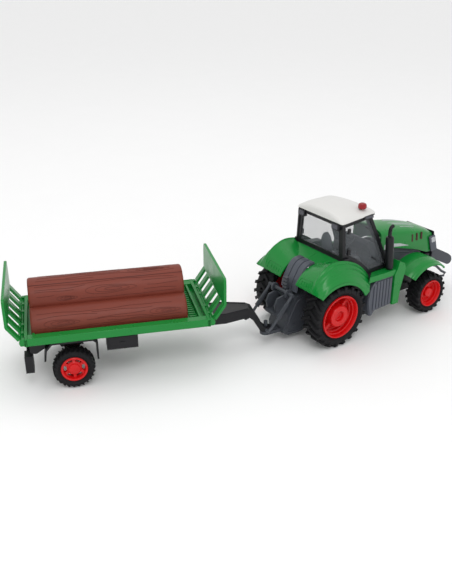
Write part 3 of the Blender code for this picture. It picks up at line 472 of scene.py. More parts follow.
# Per axle: the outer face, turned outlines as (steps, (radius, depth) points), radial ribs as
# (first angle, count, radii, (offset, depth) section), and domed heads as (first angle, count,
# distance from the axle, depth, radius, height, sides, rows).
RIMS = {
    "rear": (61.4, [(96, [
        (27.1, 1.4), (27.0, 0.5), (26.4, 0.0), (25.6, 0.2), (25.0, 1.2), (24.2, 5.2),
        (23.2, 5.8), (22.7, 9.6), (21.6, 10.4), (21.0, 14.0), (20.2, 14.6), (15.0, 14.6),
        (13.9, 13.8), (13.2, 3.4), (12.5, 2.6), (7.4, 2.6), (6.5, 3.3), (6.0, 6.4),
        (5.2, 6.9), (0.05, 7.1), (0.05, 16.4), (22.0, 17.0), (25.0, 13.0), (27.1, 12.0),
    ])], [
        (pi / 4, 4, (13.2, 21.4), ((-2.2, 14.8), (2.2, 14.8), (1.9, 9.2), (-1.9, 9.2))),
    ], []),
    "front": (59.2, [(96, [
        (18.1, 1.2), (18.0, 0.4), (17.5, 0.0), (16.8, 0.2), (16.3, 1.0), (15.6, 4.2),
        (14.8, 4.8), (14.2, 8.2), (13.4, 8.8), (7.4, 8.8), (6.6, 8.2), (6.2, 4.4),
        (5.4, 3.6), (3.4, 3.1), (2.2, 3.0), (2.2, 11.0), (14.6, 11.4), (18.1, 9.0),
    ])], [], [
        (0, 1, 0, 3.4, 2.9, 1.1, 16, 4), (pi / 2, 5, 9.9, 8.7, 1.5, 2.4, 12, 3),
    ]),
    "trailer": (51.9, [(96, [
        (14.6, 1.4), (14.5, 0.5), (14.0, 0.0), (13.0, 0.0), (12.2, 0.4), (11.8, 1.6),
        (11.4, 3.2), (11.2, 6.6), (12.6, 7.0), (14.6, 7.6),
    ]), (72, [
        (8.3, 3.4), (7.4, 2.6), (6.4, 2.2), (5.8, 1.2), (4.4, 0.6), (2.0, 0.4), (2.0, 7.0),
        (8.3, 7.0),
    ])], [
        (pi / 6, 6, (7.9, 11.6), ((-1.9, 6.6), (1.9, 6.6), (1.6, 3.3), (-1.6, 3.3))),
    ], [
        (0, 1, 0, 0.9, 3.4, 0.8, 16, 4), (0, 6, 5.6, 1.6, 0.75, 0.6, 8, 2),
    ]),
}


def wheels():
    for prefix, (body, place, *sizes) in WHEELS.items():
        axle = place.inverted() @ middle(f"{prefix}_axle")
        centre = (axle.x, axle.z)
        for side, word in SIDES:
            shape = tyre(place, centre, side, *sizes)
            node = f"{prefix}_{word}_tyre"
            shape.stand_in(node, "tyre_rubber", body, smooth=34, bevel=0.3, segments=1)
            shape = rim(place, centre, side, *RIMS[prefix])
            shape.stand_in(f"{prefix}_{word}_rim", "red_plastic", body, smooth=28)


def tyre(place, centre, side, edge, width, track, lugs, height):
    """A carcass with bulged walls, and two rows of bent bars set half a pitch apart."""
    radius = centre[1]
    base = radius - height
    mid = side * (track - width / 2)
    half = width / 2
    shape = Shape(place)
    wall = edge + 0.45 * (base - edge)
    profile = [
        (edge - 0.2, -0.80), (edge + 0.8, -0.86), (edge + 1.4, -0.80), (wall, -0.97),
        (base - 1.6, -0.95), (base - 0.3, -0.82), (base, -0.55), (base + 0.1, 0.0),
    ]
    profile += [(r, -part) for r, part in profile[-2::-1]]
    shape.lathe([(r, mid + part * half) for r, part in profile], centre, steps=96)
    pitch = 2 * pi / lugs
    lean = 0.62 * pitch
    # Along a bar: (share of the half width, radius, lean, half-length in pitches).
    path = [
        (-0.06, radius, 0.0, 0.115), (0.45, radius - 0.1, 0.45 * lean, 0.12),
        (0.86, radius - 0.5, lean, 0.15), (0.985, radius - 1.7, lean, 0.16),
        (1.0, base - 2.0, lean, 0.15), (0.985, wall + 0.6, 0.97 * lean, 0.10),
    ]
    for row in (-1, 1):
        for bar in turns(lugs):
            start = bar - pi / 2 + (0.5 * pitch if row > 0 else 0.0)
            rings = []
            for part, reach, turn, spread in path:
                y = part * half
                tip = spread * pitch
                root = tip + 0.05 * pitch
                foot = (max(reach - height - 1.0, edge + 2.0), y - (2.6 if part > 0.9 else 0.0))
                corners = ((-root, *foot), (-tip, reach, y), (tip, reach, y), (root, *foot))
                rings.append([
                    polar_y(centre, r, start + turn + off, mid + row * out)
                    for off, r, out in corners
                ])
            shape.loft(rings)
    return shape


def rim(place, centre, side, track, outlines, ribs, heads):
    """A turned rim with its ribs, and its domed hub, studs or bolt heads."""
    shape = Shape(place)
    for steps, outline in outlines:
        shape.lathe([(r, side * (track - depth)) for r, depth in outline], centre, steps)
    for first, count, radii, section in ribs:
        for turn in turns(count):
            shape.loft([[
                polar_y(centre, hypot(r, w), first + turn + atan2(w, r), side * (track - d))
                for w, d in section] for r in radii])
    for first, count, out, depth, radius, height, sides, rows in heads:
        for turn in turns(count):
            spot = polar_y(centre, out, first + turn, side * (track - depth))
            shape.dome(spot, radius, height, (0, side, 0), sides, rows)
    return shape


# ---------------------------------------------------------------- tractor panels

FENDER_CENTRE = (-3.0, 38.0)
FENDER_R = 48.4
FENDER_RISE = 20.0
FENDER_INNER_RISE = 8.6
FENDER_OUTER_Y = 63.0
FENDER_CREST_Y = 46.4
FENDER_INNER_Y = 15.0
FENDER_LIP = 5.0
FENDER_SPAN = (131, 77.4, 29)    # rear edge, start of the deck and front edge, in degrees
FENDER_LINES = (45.8, 49.8, 54.0)
FENDER_WALL = 2.0


def ease(t):
    t = max(0.0, min(1.0, t))
    return t * t * (3 - 2 * t)


def bell(distance, width):
    return exp(-(distance / width) ** 2)


def fender_rise(angle, y):
    """Height of the rear fender over its outer arc, at an angle and a distance out."""
    rear = FENDER_SPAN[0]
    blend = sin(radians(90 * min(1.0, (rear - angle) / 44)))
    part = min(1.0, (FENDER_OUTER_Y - y) / (FENDER_OUTER_Y - FENDER_CREST_Y))
    flare = 4.0 * max(0.0, (45 - angle) / 16)
    rise = flare * (1 - part) + FENDER_RISE * blend * part ** 0.85
    band = 0.8 * ease(FENDER_OUTER_Y - y - FENDER_LIP) - 0.8
    lines = sum(bell(y - at, 0.8) for at in FENDER_LINES) * ease((rear - angle) / 12)
    reach = max(0.0, FENDER_CREST_Y - y) / (FENDER_CREST_Y - FENDER_INNER_Y)
    dip = (FENDER_RISE - FENDER_INNER_RISE) * blend * reach
    return rise + band + lines - dip - 0.6


def arch_row(centre, angle, side, line):
    """Points across an arched fender at an angle, from its (y, radius) line."""
    return [polar_y(centre, r, radians(angle), side * y) for y, r in line]


def rear_fenders():
    """Wide arched fenders with a lip and raised lines, the deck between them, and lamp marks."""
    rear, deck, front = FENDER_SPAN
    edge, base = FENDER_OUTER_Y, FENDER_R
    for side, word in SIDES:
        shape = Shape(TRACTOR)
        for start, end, inner_y in ((rear, deck, FENDER_INNER_Y), (deck, front, FENDER_CREST_Y)):
            steps = int((start - end) / 1.8)
            spots = [edge - (edge - inner_y) * k / 40 for k in range(41)]
            outer = []
            inner = []
            for i in range(steps + 1):
                angle = start + (end - start) * i / steps
                band = [(y, base + fender_rise(angle, y)) for y in spots]
                under = [(edge - 1.8, base - 4.0), (edge - 1.8, base - 2.4)]
                under += [(min(y, edge - 1.9), r - FENDER_WALL) for y, r in band]
                band[0] = (edge - 0.3, band[0][1])
                line = [(edge, base - 4.0), (edge, base - 0.6)] + band
                outer.append(arch_row(FENDER_CENTRE, angle, side, line))
                inner.append(arch_row(FENDER_CENTRE, angle, side, under))
            shape.sheet(outer, inner)
        line = spline([(-5.2, 94.9), (4, 97.9), (12.6, 101.4)], 4)
        under = [(x, z - 2.2) for x, z in line]
        shape.prism(line + under[::-1], side * 0.15, side * 38.9)
        shape.stand_in(f"{word}_rear_fender", "green_plastic", smooth=40)
        lamp_marks(side, word)


def fender_spot(angle, y, side, lift):
    radius = FENDER_R + fender_rise(angle, y) + lift
    return Vector(polar_y(FENDER_CENTRE, radius, radians(angle), side * y))


def lamp_marks(side, word):
    """Four raised lamp marks in a shallow frame at the fender's rear corner."""
    shape = Shape(TRACTOR)
    for y in (22, 26.6, 31.2, 35.8):
        corners = ((126.5, y - 1.5), (126.5, y + 1.5), (122.5, y + 1.2), (122.5, y - 1.2))
        shape.loft([[fender_spot(*spot, side, lift) for spot in corners] for lift in (-0.4, 0.5)])
    edge = ((129, 17), (129, 42), (119, 40), (119, 19))
    for (a0, y0), (a1, y1) in zip(edge, edge[1:] + edge[:1]):
        parts = [t / 6 for t in range(7)]
        path = [fender_spot(a0 + (a1 - a0) * t, y0 + (y1 - y0) * t, side, 0.05) for t in parts]
        shape.sweep(path, 0.45, 8)
    shape.make(f"{word}_lamp_marks", "green_plastic", smooth=40)


FRONT_FENDER_SPAN = (141, 59)
FRONT_FENDER_Y = 60.0


def front_fender_section(part):
    """The (y, radius) line across a front fender, and its edge radius, from front to rear."""
    reach = 39.8 + 7.0 * part ** 0.7
    rise = 2.0 + 6.6 * part
    knots = [
        (FRONT_FENDER_Y, 0.0), (57.0, 0.16), (52.0, 0.55), (42.0, 1.0), (34, 1.04), (26.5, 1.0),
    ]
    band = []
    for y, share in spline(knots, 6):
        step = 0.6 * (1 - ease(FRONT_FENDER_Y - y - 3.6))
        line = 0.5 * bell(y - 51.4, 0.8) + 0.5 * bell(y - 44.0, 0.8)
        band.append((y, reach + share * rise - step + line - 0.4))
    return reach, band


def front_fenders():
    """Arched front fenders with a stepped edge band and two raised lines."""
    axle = TRACTOR.inverted() @ middle("front_axle")
    centre = (axle.x, axle.z)
    rear, front = FRONT_FENDER_SPAN
    edge = FRONT_FENDER_Y
    for side, word in SIDES:
        outer = []
        inner = []
        for i in range(49):
            part = 1 - i / 48
            angle = front + (rear - front) * part
            reach, band = front_fender_section(part)
            line = [(edge, reach - 3.0)] + band
            under = [(edge - 1.8, reach - 3.0)] + [(min(y, edge - 1.9), r - 1.9) for y, r in band]
            outer.append(arch_row(centre, angle, side, line))
            inner.append(arch_row(centre, angle, side, under))
        shape = Shape(TRACTOR)
        shape.sheet(outer, inner)
        shape.stand_in(f"{word}_front_fender", "green_plastic", smooth=40)


ROOF_STATIONS = [
    # x, half-width, underside, edge height, crown height
    (9.6, 36.0, 148.6, 1.0, 4.0), (10.4, 38.6, 148.0, 3.0, 8.2), (14.0, 40.8, 147.9, 4.0, 10.8),
    (30, 41.3, 149.6, 3.6, 12.2), (48, 41.2, 151.2, 2.4, 7.9), (60, 40.0, 151.8, 2.0, 5.0),
    (67, 36.5, 150.3, 2.0, 4.4), (72.6, 28, 148.9, 1.7, 3.2), (75.4, 16, 148.3, 1.0, 1.8),
]


BEACON_PLACE = (51.3, -30.0)
BEACON = ((157.4, 4.4), (158.2, 4.4), (158.4, 5.1), (161.8, 5.0), (163.4, 4.2), (164.2, 2.4))


def cab_roof():
    """Crowned roof with soft edges and shallow pressings, its gasket and the beacon."""
    roof = Shape(TRACTOR)
    rings = []
    for x, half, under, edge, crown in spline(ROOF_STATIONS, 6):
        ring = []
        for k in range(45):
            turn = pi * k / 44
            part = copysign(abs(cos(turn)) ** 0.34, cos(turn))
            lift = edge * max(0.0, sin(turn)) ** 0.55 + (crown - edge) * (1 - part * part)
            y = half * part
            groove = 0.35 * bell(abs(y) - 24, 1.6) * ease((62 - x) / 8) * ease((x - 14) / 6)
            ring.append((x, y, under + lift - groove))
        rings.append(ring)
    roof.loft(rings)
    roof.stand_in("roof", "white_plastic", smooth=50)

    gasket = Shape(TRACTOR)
    gasket.loft([
        at_x(x, rectangle(half - 0.7, under - 2.3, 0.7 - half, under + 0.5))
        for x, half, under, _, _ in spline(ROOF_STATIONS[1:-2], 3)
    ])
    gasket.make("roof_gasket", "black_plastic", smooth=30)

    beacon = Shape(TRACTOR)
    rings = []
    for z, radius in BEACON:
        flute = 0.2 if 158.3 < z < 162 else 0.0
        ring = [(a, radius + flute * cos(12 * a)) for a in turns(48)]
        x, y = BEACON_PLACE
        rings.append([(x + r * cos(a), y + r * sin(a), z) for a, r in ring])
    beacon.loft(rings)
    beacon.stand_in("beacon_lens", "beacon_red", bevel=0.3)


CAB_HALF_AT_100 = 43.4
CAB_TILT = 0.075


def cab_half(z):
    """Half the cab's width at a height."""
    return CAB_HALF_AT_100 + (100 - z) * CAB_TILT


def cab_fittings():
    """Work lamps at the rear and on the sides, window hinges, door handles and the mirror."""
    pods = Shape(TRACTOR)
    glass = Shape(TRACTOR)
    lamp = tablet(24.5, 139.6, 36.4, 147.6, 1.6)
    front = tablet(25.8, 140.8, 35.2, 146.4, 1.2)
    out = cab_half(96) + 0.9
    handle = [(60, out - 1.4, 97.5), (61, out, 97.2), (68, out, 92.2), (69, out - 1.4, 91.8)]
    for side in (1, -1):
        pods.loft([
            [(x, side * (30.4 + (y - 30.4) * size), 143.6 + (z - 143.6) * size) for y, z in lamp]
            for x, size in ((8.6, 1.0), (9.0, 1.05), (12.6, 1.05), (13.6, 0.925))
        ])
        glass.loft([[(x, side * y, z) for y, z in front] for x in (8.3, 8.9)])
        pods.sweep([(x, side * y, z) for x, y, z in handle], 0.9, 10)
    side_lamp = [(44, 147.2), (44.6, 151.6), (58.6, 152.2), (60.4, 147.6)]
    pods.pair(rounded(side_lamp, 1.2), 38.6, 41.6)
    side_glass = [(46, 148.4), (46.4, 151.2), (57.4, 151.6), (58.6, 148.6)]
    glass.pair(rounded(side_glass, 0.8), 41.2, 42.4)
    for z, half, out in ((112.0, 3.5, 0.5), (138.0, 3.0, 0.3)):
        y = cab_half(z) + out
        pods.pair(tablet(20.1, z - half, 24.6, z + half, 0.8), y - 0.9, y + 0.9)
    pods.make("cab_lamp_pods", "black_plastic", bevel=0.25)
    glass.make("cab_lamp_glass", "lamp_dark")

    mirror = Shape(TRACTOR)
    mirror.sweep([(60, -30, 146.5), (61, -31, 141), (60, -31.5, 137)], 0.8, 10)
    mirror.loft([
        [(x, -31.5 + 3.4 * cos(a), 132 + sin(a)) for a in turns(12)] for x in (59.4, 61.0)
    ])
    mirror.make("cab_mirror", "black_plastic", bevel=0.2)


def local_box(node):
    return [TRACTOR.inverted() @ Vector(corner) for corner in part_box(node)]


def cab_inside():
    """The seat with its back, cushion and foot, the dashboard, side boxes and levers."""
    low, high = local_box("seat")
    mid_y = (low.y + high.y) / 2
    half = (high.y - low.y) / 2
    seat = Shape(TRACTOR)
    rings = []
    for t in [k / 14 for k in range(15)]:
        x = low.x + 3.6 + 2.2 * (1 - t) ** 2
        top = sqrt(max(0.03, 1 - max(0.0, (t - 0.72) / 0.28) ** 2))
        wide = half * (0.80 + 0.20 * sin(pi * min(1.0, t * 1.25))) * top
        thick = 2.6 * (1 - 0.35 * t)
        rings.append([
            (x + thick * sin(a) * (1 - 0.35 * abs(cos(a)) ** 6), mid_y + wide * cos(a),
             91.5 + 32.0 * t) for a in turns(24)
        ])
    seat.loft(rings)
    rings = []
    for t in [k / 10 for k in range(11)]:
        wide = half * sqrt(max(0.05, 1 - abs(2 * t - 1) ** 5))
        crown = 2.4 * sqrt(max(0.1, 1 - abs(2 * t - 1) ** 4))
        x = low.x + 3.5 + 25.0 * t
        rings.append([(x, mid_y + wide * cos(a), 90.0 + crown * sin(a)) for a in turns(24)])
    seat.loft(rings)
    foot = [(low.x + x, z) for x, z in ((8, 79.2), (10.5, 88), (22, 88), (24, 79.2))]
    seat.prism(rounded(foot, 1.5), mid_y - half * 0.6, mid_y + half * 0.6)
    seat.stand_in("seat", "grey_plastic", smooth=45)

    console = Shape(TRACTOR)
    dash = [
        (85.6, 81.0), (85.6, 84.5), (73.5, 110.0), (66.0, 112.5), (63.5, 108.0), (68.5, 96.0),
        (66.0, 81.0),
    ]
    console.prism(rounded(dash, 2.0), -33.0, 33.0)
    box = [(20.0, 80.0), (20.0, 99.0), (24.0, 102.0), (45.0, 100.0), (49.0, 94.0), (52.0, 80.0)]
    console.pair(rounded(box, 2.5), 27.0, 37.5)
    for x, z in ((30.0, 108.0), (36.0, 106.5), (42.0, 105.0)):
        console.rod((x, -32, 99), (x + 1.5, -32, z), 0.9, 10)
    console.make("cab_console", "dark_grey_plastic", bevel=0.3)


def exhaust():
    """The tapered stack with its bent tail pipe."""
    shape = Shape(TRACTOR)
    low, high = local_box("exhaust_stack")
    y = (low.y + high.y) / 2
    stack = ((84.4, 79.9), (84.2, 81.4), (80.4, 119.6), (80.3, 121.6), (80.2, 122.4))
    shape.sweep(on_side(y, stack), [4.6, 5.1, 5.1, 4.4, 3.0], 40)
    pipe = spline([(80.2, 119), (79.8, 128.0), (80.2, 131.6), (81.8, 134.0), (84.4, 135.2)], 6)
    shape.sweep(on_side(y, pipe), 2.3, 24)
    shape.stand_in("exhaust_stack", "black_plastic", smooth=40)


HOOD_STATIONS = [
    # x, half-width, lower edge, top, fall to the shoulder, lean of the front edge
    (94.0, 25.5, 91.0, 119.4, 6.2, 0.0), (118.0, 26.0, 90.5, 117.2, 6.5, 0.0),
    (145.0, 26.0, 83.0, 112.4, 6.5, 0.0), (160.0, 25.5, 78.5, 108.6, 6.0, 0.0),
    (172.0, 25.0, 73.0, 105.0, 5.3, 0.05), (181.0, 24.4, 69.0, 101.8, 4.6, 0.12),
    (191.0, 22.6, 69.4, 97.4, 3.8, 0.27),
]


def hood_outer(half, low, high, fall):
    """Half of the hood's cross-section, from its lower edge to the centre line."""
    knots = [
        (half, low), (half, low + 0.3 * (high - low)), (half - 0.5, high - 1.5 * fall),
        (half - 1.5, high - fall), (half - 3.4, high - 0.72 * fall),
        (half - 7.0, high - 0.42 * fall), (half * 0.4, high - 0.1 * fall), (0.0, high),
    ]
    return spline(knots, 4)


def hood_shell():
    """The hood with soft creases, side slots and generic trim stripes."""
    hood = Shape(TRACTOR)
    rings = []
    for x, half, low, high, fall, lean in HOOD_STATIONS[:1] + spline(HOOD_STATIONS[1:], 6):
        line = hood_outer(half, low, high, fall)
        full = line + [(-y, z) for y, z in line[-2::-1]]
        slim = (half - 1.8) / half
        under = [(y * slim, z - 1.8 * ease((z - low - 4) / 8)) for y, z in full[::-1]]
        rings.append([(x + lean * (high - z), y, z) for y, z in full + under])
    hood.loft(rings)
    hood.stand_in("hood", "green_plastic", smooth=30)

    slots = Shape(TRACTOR)
    for x in (151.0, 159.6, 168.2):
        slot = [(x - 1.5, 91.4), (x + 1.6, 91.0), (x + 0.6, 101.2), (x - 1.7, 101.6)]
        slots.pair(rounded(slot, 1.0), 25.0, 25.95)
    slots.make("hood_slots", "slot_red", smooth=30)

    stripes = Shape(TRACTOR)
    flash = [(100, 91.6), (120, 91.4), (146, 87.6), (128, 94.2), (112, 97.4), (100, 98.4)]
    stripes.pair(rounded(flash, 1.2), 25.4, 26.12)
    for k, wide in enumerate((0.45, 0.9, 0.45, 0.9)):
        for side in (1, -1):
            y = side * (4.6 + 3.6 * k)
            rings = []
            for step in range(13):
                x = 124 + 4 * k + (44 - 6 * k) * step / 12
                z = hood_top(x, abs(y))
                ring = rectangle(y - wide, z - 0.5, y + wide, z + 0.07)
                rings.append(at_x(x, ring))
            stripes.loft(rings)
    stripes.make("hood_trim", "silver_print", smooth=30)


def hood_top(x, y):
    """Height of the hood's top at a place, from its stations."""
    rows = spline(HOOD_STATIONS, 8)
    first, second = next(two for two in zip(rows, rows[1:]) if two[0][0] <= x <= two[1][0])
    t = (x - first[0]) / (second[0] - first[0])
    half, low, high, fall = (a + (b - a) * t for a, b in zip(first[1:5], second[1:5]))
    line = hood_outer(half, low, high, fall)
    near, far = next(two for two in zip(line, line[1:]) if two[1][0] <= y <= two[0][0])
    return near[1] + (far[1] - near[1]) * (near[0] - y) / (near[0] - far[0])


def scaled(outline, centre, factor):
    """An outline shrunk towards a point."""
    return [tuple(c + (v - c) * factor for v, c in zip(point, centre)) for point in outline]


def nose_details():
    """Headlamp panels, slatted grille, stacked front weights and the engine's side relief."""
    panels = Shape(TRACTOR)
    panel = [(183.2, 90.4), (194.4, 91.4), (201.4, 69.6), (190.4, 68.2)]
    panels.pair(rounded(panel, 1.6), 24.4, 26.3)
    panels.make("headlamp_panels", "grey_plastic", bevel=0.3)
    lamps = Shape(TRACTOR)
    lamp = [(187.5, 88.6), (194.2, 89.4), (196.2, 82.0), (189.2, 81.4)]
    lamps.pair(rounded(lamp, 1.2), 25.6, 26.6)
    lamps.make("headlamp_glass", "lamp_clear", bevel=0.2)

    grille = Shape(TRACTOR)
    frame_line = [(192.4, 96.3), (199.9, 67.4), (202.4, 67.4), (200.8, 75), (194.4, 96.0)]
    grille.prism(frame_line, -23.6, 23.6)
    for k in range(9):
        z = 70.0 + 2.9 * k
        x = 202.4 - 0.26 * (z - 67.4)
        grille.sweep([(x, -22.4, z), (x + 0.7, 0, z), (x, 22.4, z)], 0.8, 10)
    grille.stand_in("front_grille", "black_plastic", bevel=0.2)

    weight = Shape(TRACTOR)
    outline = rounded([
        (204.2, 66.4), (207.5, 67.5), (239, 51), (246.5, 45.5), (248.5, 39), (245.5, 34.6),
        (240, 34.2), (210, 49.5), (204.2, 50.5),
    ], 3.0)
    centre = (226, 51)
    weight.prism(scaled(outline, centre, 0.965), -16.6, 16.6)
    slim = scaled(outline, centre, 0.985)
    for k in range(8):
        y = -16.65 + 4.25 * k
        plate = ((y, slim), (y + 0.5, outline), (y + 3.05, outline), (y + 3.55, slim))
        weight.loft([on_side(level, line) for level, line in plate])
    weight.stand_in("front_weight", "dark_grey_plastic", smooth=40)

    relief = Shape(TRACTOR)
    panel = [
        (98, 88.4), (118, 88.0), (160, 76.4), (171, 71.0), (148, 73.0), (124, 69.0), (98, 69.0),
    ]
    relief.pair(rounded(panel, 2.0), 22.4, 23.9)
    for side in (1, -1):
        rail = [(98, side * 23.6, 85.6), (118, side * 23.8, 84.6), (150, side * 23.8, 76.8)]
        relief.sweep(rail, 1.0, 12)
    relief.make("engine_relief", "dark_grey_plastic", bevel=0.35)


COVER_LINE = [
    (-33, 62.6), (-30.4, 74), (-24.2, 85.6), (-19.6, 92.0), (-14.6, 95.2), (-9.6, 96.0),
    (-4.8, 96.2),
]
STEP_BOX = [
    (88.0, 31.5), (88.0, 70.1), (60.0, 70.1), (52.0, 63.0), (48.4, 55.5), (47.3, 47), (48.0, 37),
    (51.5, 24), (56.5, 24), (61, 30),
]
HOUSING = [
    (38, 20), (38, 50), (-16, 56), (-30, 51), (-39, 34.5), (-44.6, 21), (-44.6, 14), (-39, 11.6),
    (-25, 11.2), (-6, 17.4),
]


def rear_cover():
    """Cover over the gearbox, with three broad raised ribs."""
    cover = Shape(TRACTOR)
    line = spline(COVER_LINE, 8)
    inner = []
    for i, (x, z) in enumerate(line):
        before, after = Vector(line[max(0, i - 1)]), Vector(line[min(len(line) - 1, i + 1)])
        slope = (after - before).normalized()
        inner.append((x + slope.y * 2.0, z - slope.x * 2.0))
    sunk = [((x + u * 2) / 3, (z + v * 2) / 3) for (x, z), (u, v) in zip(line, inner)]
    cover.prism(sunk + inner[::-1], -14.9, 14.9)
    rib = ((-4.4, -0.75), (-4.0, -0.05), (-3.4, 0.0), (3.4, 0.0), (4.0, -0.05), (4.4, -0.75))
    for y in (-9.7, 0.0, 9.7):
        cover.loft([
            [(x + (x - u) * rise, y + wide, z + (z - v) * rise) for wide, rise in rib]
            for (x, z), (u, v) in zip(line, inner)
        ])
    cover.stand_in("rear_cover", "grey_plastic", smooth=40, bevel=0.2)


def rear_details():
    """The ribbed step boxes, and the rims and bosses of the housing."""
    for side, word in SIDES:
        box = Shape(TRACTOR)
        box.prism(rounded(STEP_BOX, 2.0), side * 40, side * 55.9)
        for k in range(6):
            x = 58.5 + 5.2 * k
            first = k == 0
            rib = tablet(x - 2.05, 30.5 if first else 32.4, x + 2.05, 66.5 if first else 68.6, 0.7)
            box.loft([
                [(x + (u - x) * size, side * y, v) for u, v in rib]
                for y, size in ((55.4, 1.0), (56.7, 1.0), (57.1, 0.82))
            ])
        edge = [(57.0, 67.6), (52.0, 61.5), (49.6, 54), (49.0, 46), (50.4, 36), (53.6, 26)]
        box.sweep(on_side(side * 56.2, spline(edge, 4)), 1.3, 10)
        box.stand_in(f"{word}_step_box", "grey_plastic", bevel=0.25)

    rims = Shape(TRACTOR)
    for side in (1, -1):
        loop = on_side(side * 15.1, rounded(HOUSING, 5.0))
        rims.sweep(loop + loop[:1], 1.0, 10)
        rims.rod((-18, side * 14.6, 30), (-18, side * 16.4, 30), 5.2, 28)
        rims.rod((-34, side * 14.6, 20), (-34, side * 16.8, 20), 2.2, 20)
    rims.make("housing_rims", "dark_grey_plastic", smooth=40)


# ---------------------------------------------------------------- trailer

BED_REAR_X = -48.7
BED_FRONT_X = 151.7
BED_HALF = 55.1
BED_BOTTOM_Z = 59.3
BED_TOP_Z = 68.3
BED_FLOOR_Z = 61.5
BED_RAIL = 3.6
BED_LEDGE = 11.8
LOG_R = 20.5
LOG_SPREAD = 20.0
LOG_LOW_Z = 68.0
LOG_TOP_Z = 92.0
LOG_REAR_X = -41.0
LOG_FRONT_X = 129.0
LOG_STRIP = 0.85
STRIP_HALF_ANGLE = 32.0
STRIP_RAMP = 2.4
LOG_SKIN = LOG_R - LOG_STRIP - 0.05


def strip_lift(angle):
    """Height of the raised strip over the top log's skin, at an angle in degrees."""
    return LOG_STRIP * ease((STRIP_HALF_ANGLE - abs(angle - 90)) / STRIP_RAMP)


def log_outline(shrink):
    """Three overlapping logs cut off flat at the floor, as (y, z), with the strip on top."""
    radius = LOG_SKIN - shrink
    gap = hypot(LOG_SPREAD, LOG_TOP_Z - LOG_LOW_Z)
    reach = degrees(atan2(sqrt(radius ** 2 - gap ** 2 / 4), gap / 2))
    lean = degrees(atan2(LOG_TOP_Z - LOG_LOW_Z, LOG_SPREAD))
    start = -degrees(asin((LOG_LOW_Z - BED_FLOOR_Z - 0.3) / radius))
    right = arc((LOG_SPREAD, LOG_LOW_Z), radius, start, 180 - lean - reach, 30)
    first, last = -lean + reach, 180 + lean - reach
    top = []
    for k in range(1, 80):
        angle = first + (last - first) * k / 80
        top.append(polar_x((0, LOG_TOP_Z), radius + strip_lift(angle), radians(angle), 0)[1:])
    return right + top + [(-y, z) for y, z in right[::-1]]


def log_bundle():
    """The moulded logs: one hollow shell with rounded ends, seams and a raised strip."""
    shape = Shape(TRAILER)
    length = LOG_FRONT_X - LOG_REAR_X
    ends = [(0.0, 1.7), (0.4, 0.8), (1.3, 0.2), (2.6, 0.0)]
    rows = [(LOG_REAR_X + d, shrink) for d, shrink in ends]
    rows += [(LOG_REAR_X + 2.6 + (length - 5.2) * k / 40, 0.0) for k in range(1, 40)]
    rows += [(LOG_FRONT_X - d, shrink) for d, shrink in ends[::-1]]
    outer = [at_x(x, log_outline(shrink)) for x, shrink in rows]
    inside = [min(max(x, LOG_REAR_X + 2.0), LOG_FRONT_X - 2.0) for x, _ in rows]
    shape.sheet(outer, [at_x(x, log_outline(2.2)) for x in inside])
    for x, depth in ((LOG_REAR_X, 2.0), (LOG_FRONT_X, -2.0)):
        shape.loft([at_x(level, log_outline(1.65)) for level in (x, x + depth)])
    shape.stand_in("log_load", "brown_plastic", "logs")


def log_spot(centre, x, angle):
    """A point on a log's surface, at an angle about that log's own centre."""
    radius = LOG_SKIN + (strip_lift(angle) if centre[0] == 0.0 else 0.0)
    return polar_x(centre, radius, radians(angle), x)


def log_grain_and_crease_shade():
    """Thin wavy grain lines that part around the knots, and dark lines along the edges of the strip that paint the
    shade under its step.
    """
    grain = Shape(TRAILER)
    for centre, lines, knots in LOG_FACES:
        for stroke, (angle, start, end) in enumerate(lines):
            points = []
            for k in range(49):
                x = start + (end - start) * k / 48
                turn = angle + 2.2 * sin(x * 0.062 + stroke * 2.1) + 0.8 * sin(x * 0.17 + stroke)
                for spot_x, spot_angle, long, tall in knots:
                    near = bell(x - spot_x, long) * bell(angle - spot_angle, tall * 1.8)
                    turn += near * (tall if angle > spot_angle else -tall)
                points.append(log_spot(centre, x, turn))
            grain.sweep(points, 0.22, 5)
        for spot_x, spot_angle, long, tall in knots:
            for part in (1 / 3, 2 / 3, 1):
                points = []
                for a in turns(40) + [2 * pi]:
                    squash = 1.0 - 0.35 * cos(a) * part
                    x = spot_x + long * part * cos(a) + 0.12 * long * (1 - part)
                    turn = spot_angle + tall * part * sin(a) * squash
                    points.append(log_spot(centre, x, turn))
                grain.sweep(points, 0.22, 5)
    # Dark lines along the strip's two edges: painted shade under the strip's step, not grain.
    for side in (1, -1):
        angle = 90 + side * (STRIP_HALF_ANGLE - 0.6)
        ends = (LOG_REAR_X + 1.5, LOG_FRONT_X - 1.5)
        grain.sweep([log_spot((0.0, LOG_TOP_Z), x, angle) for x in ends], 0.45, 6)
    grain.make("log_grain_and_crease_shade", "bark_line", "logs", smooth=60)


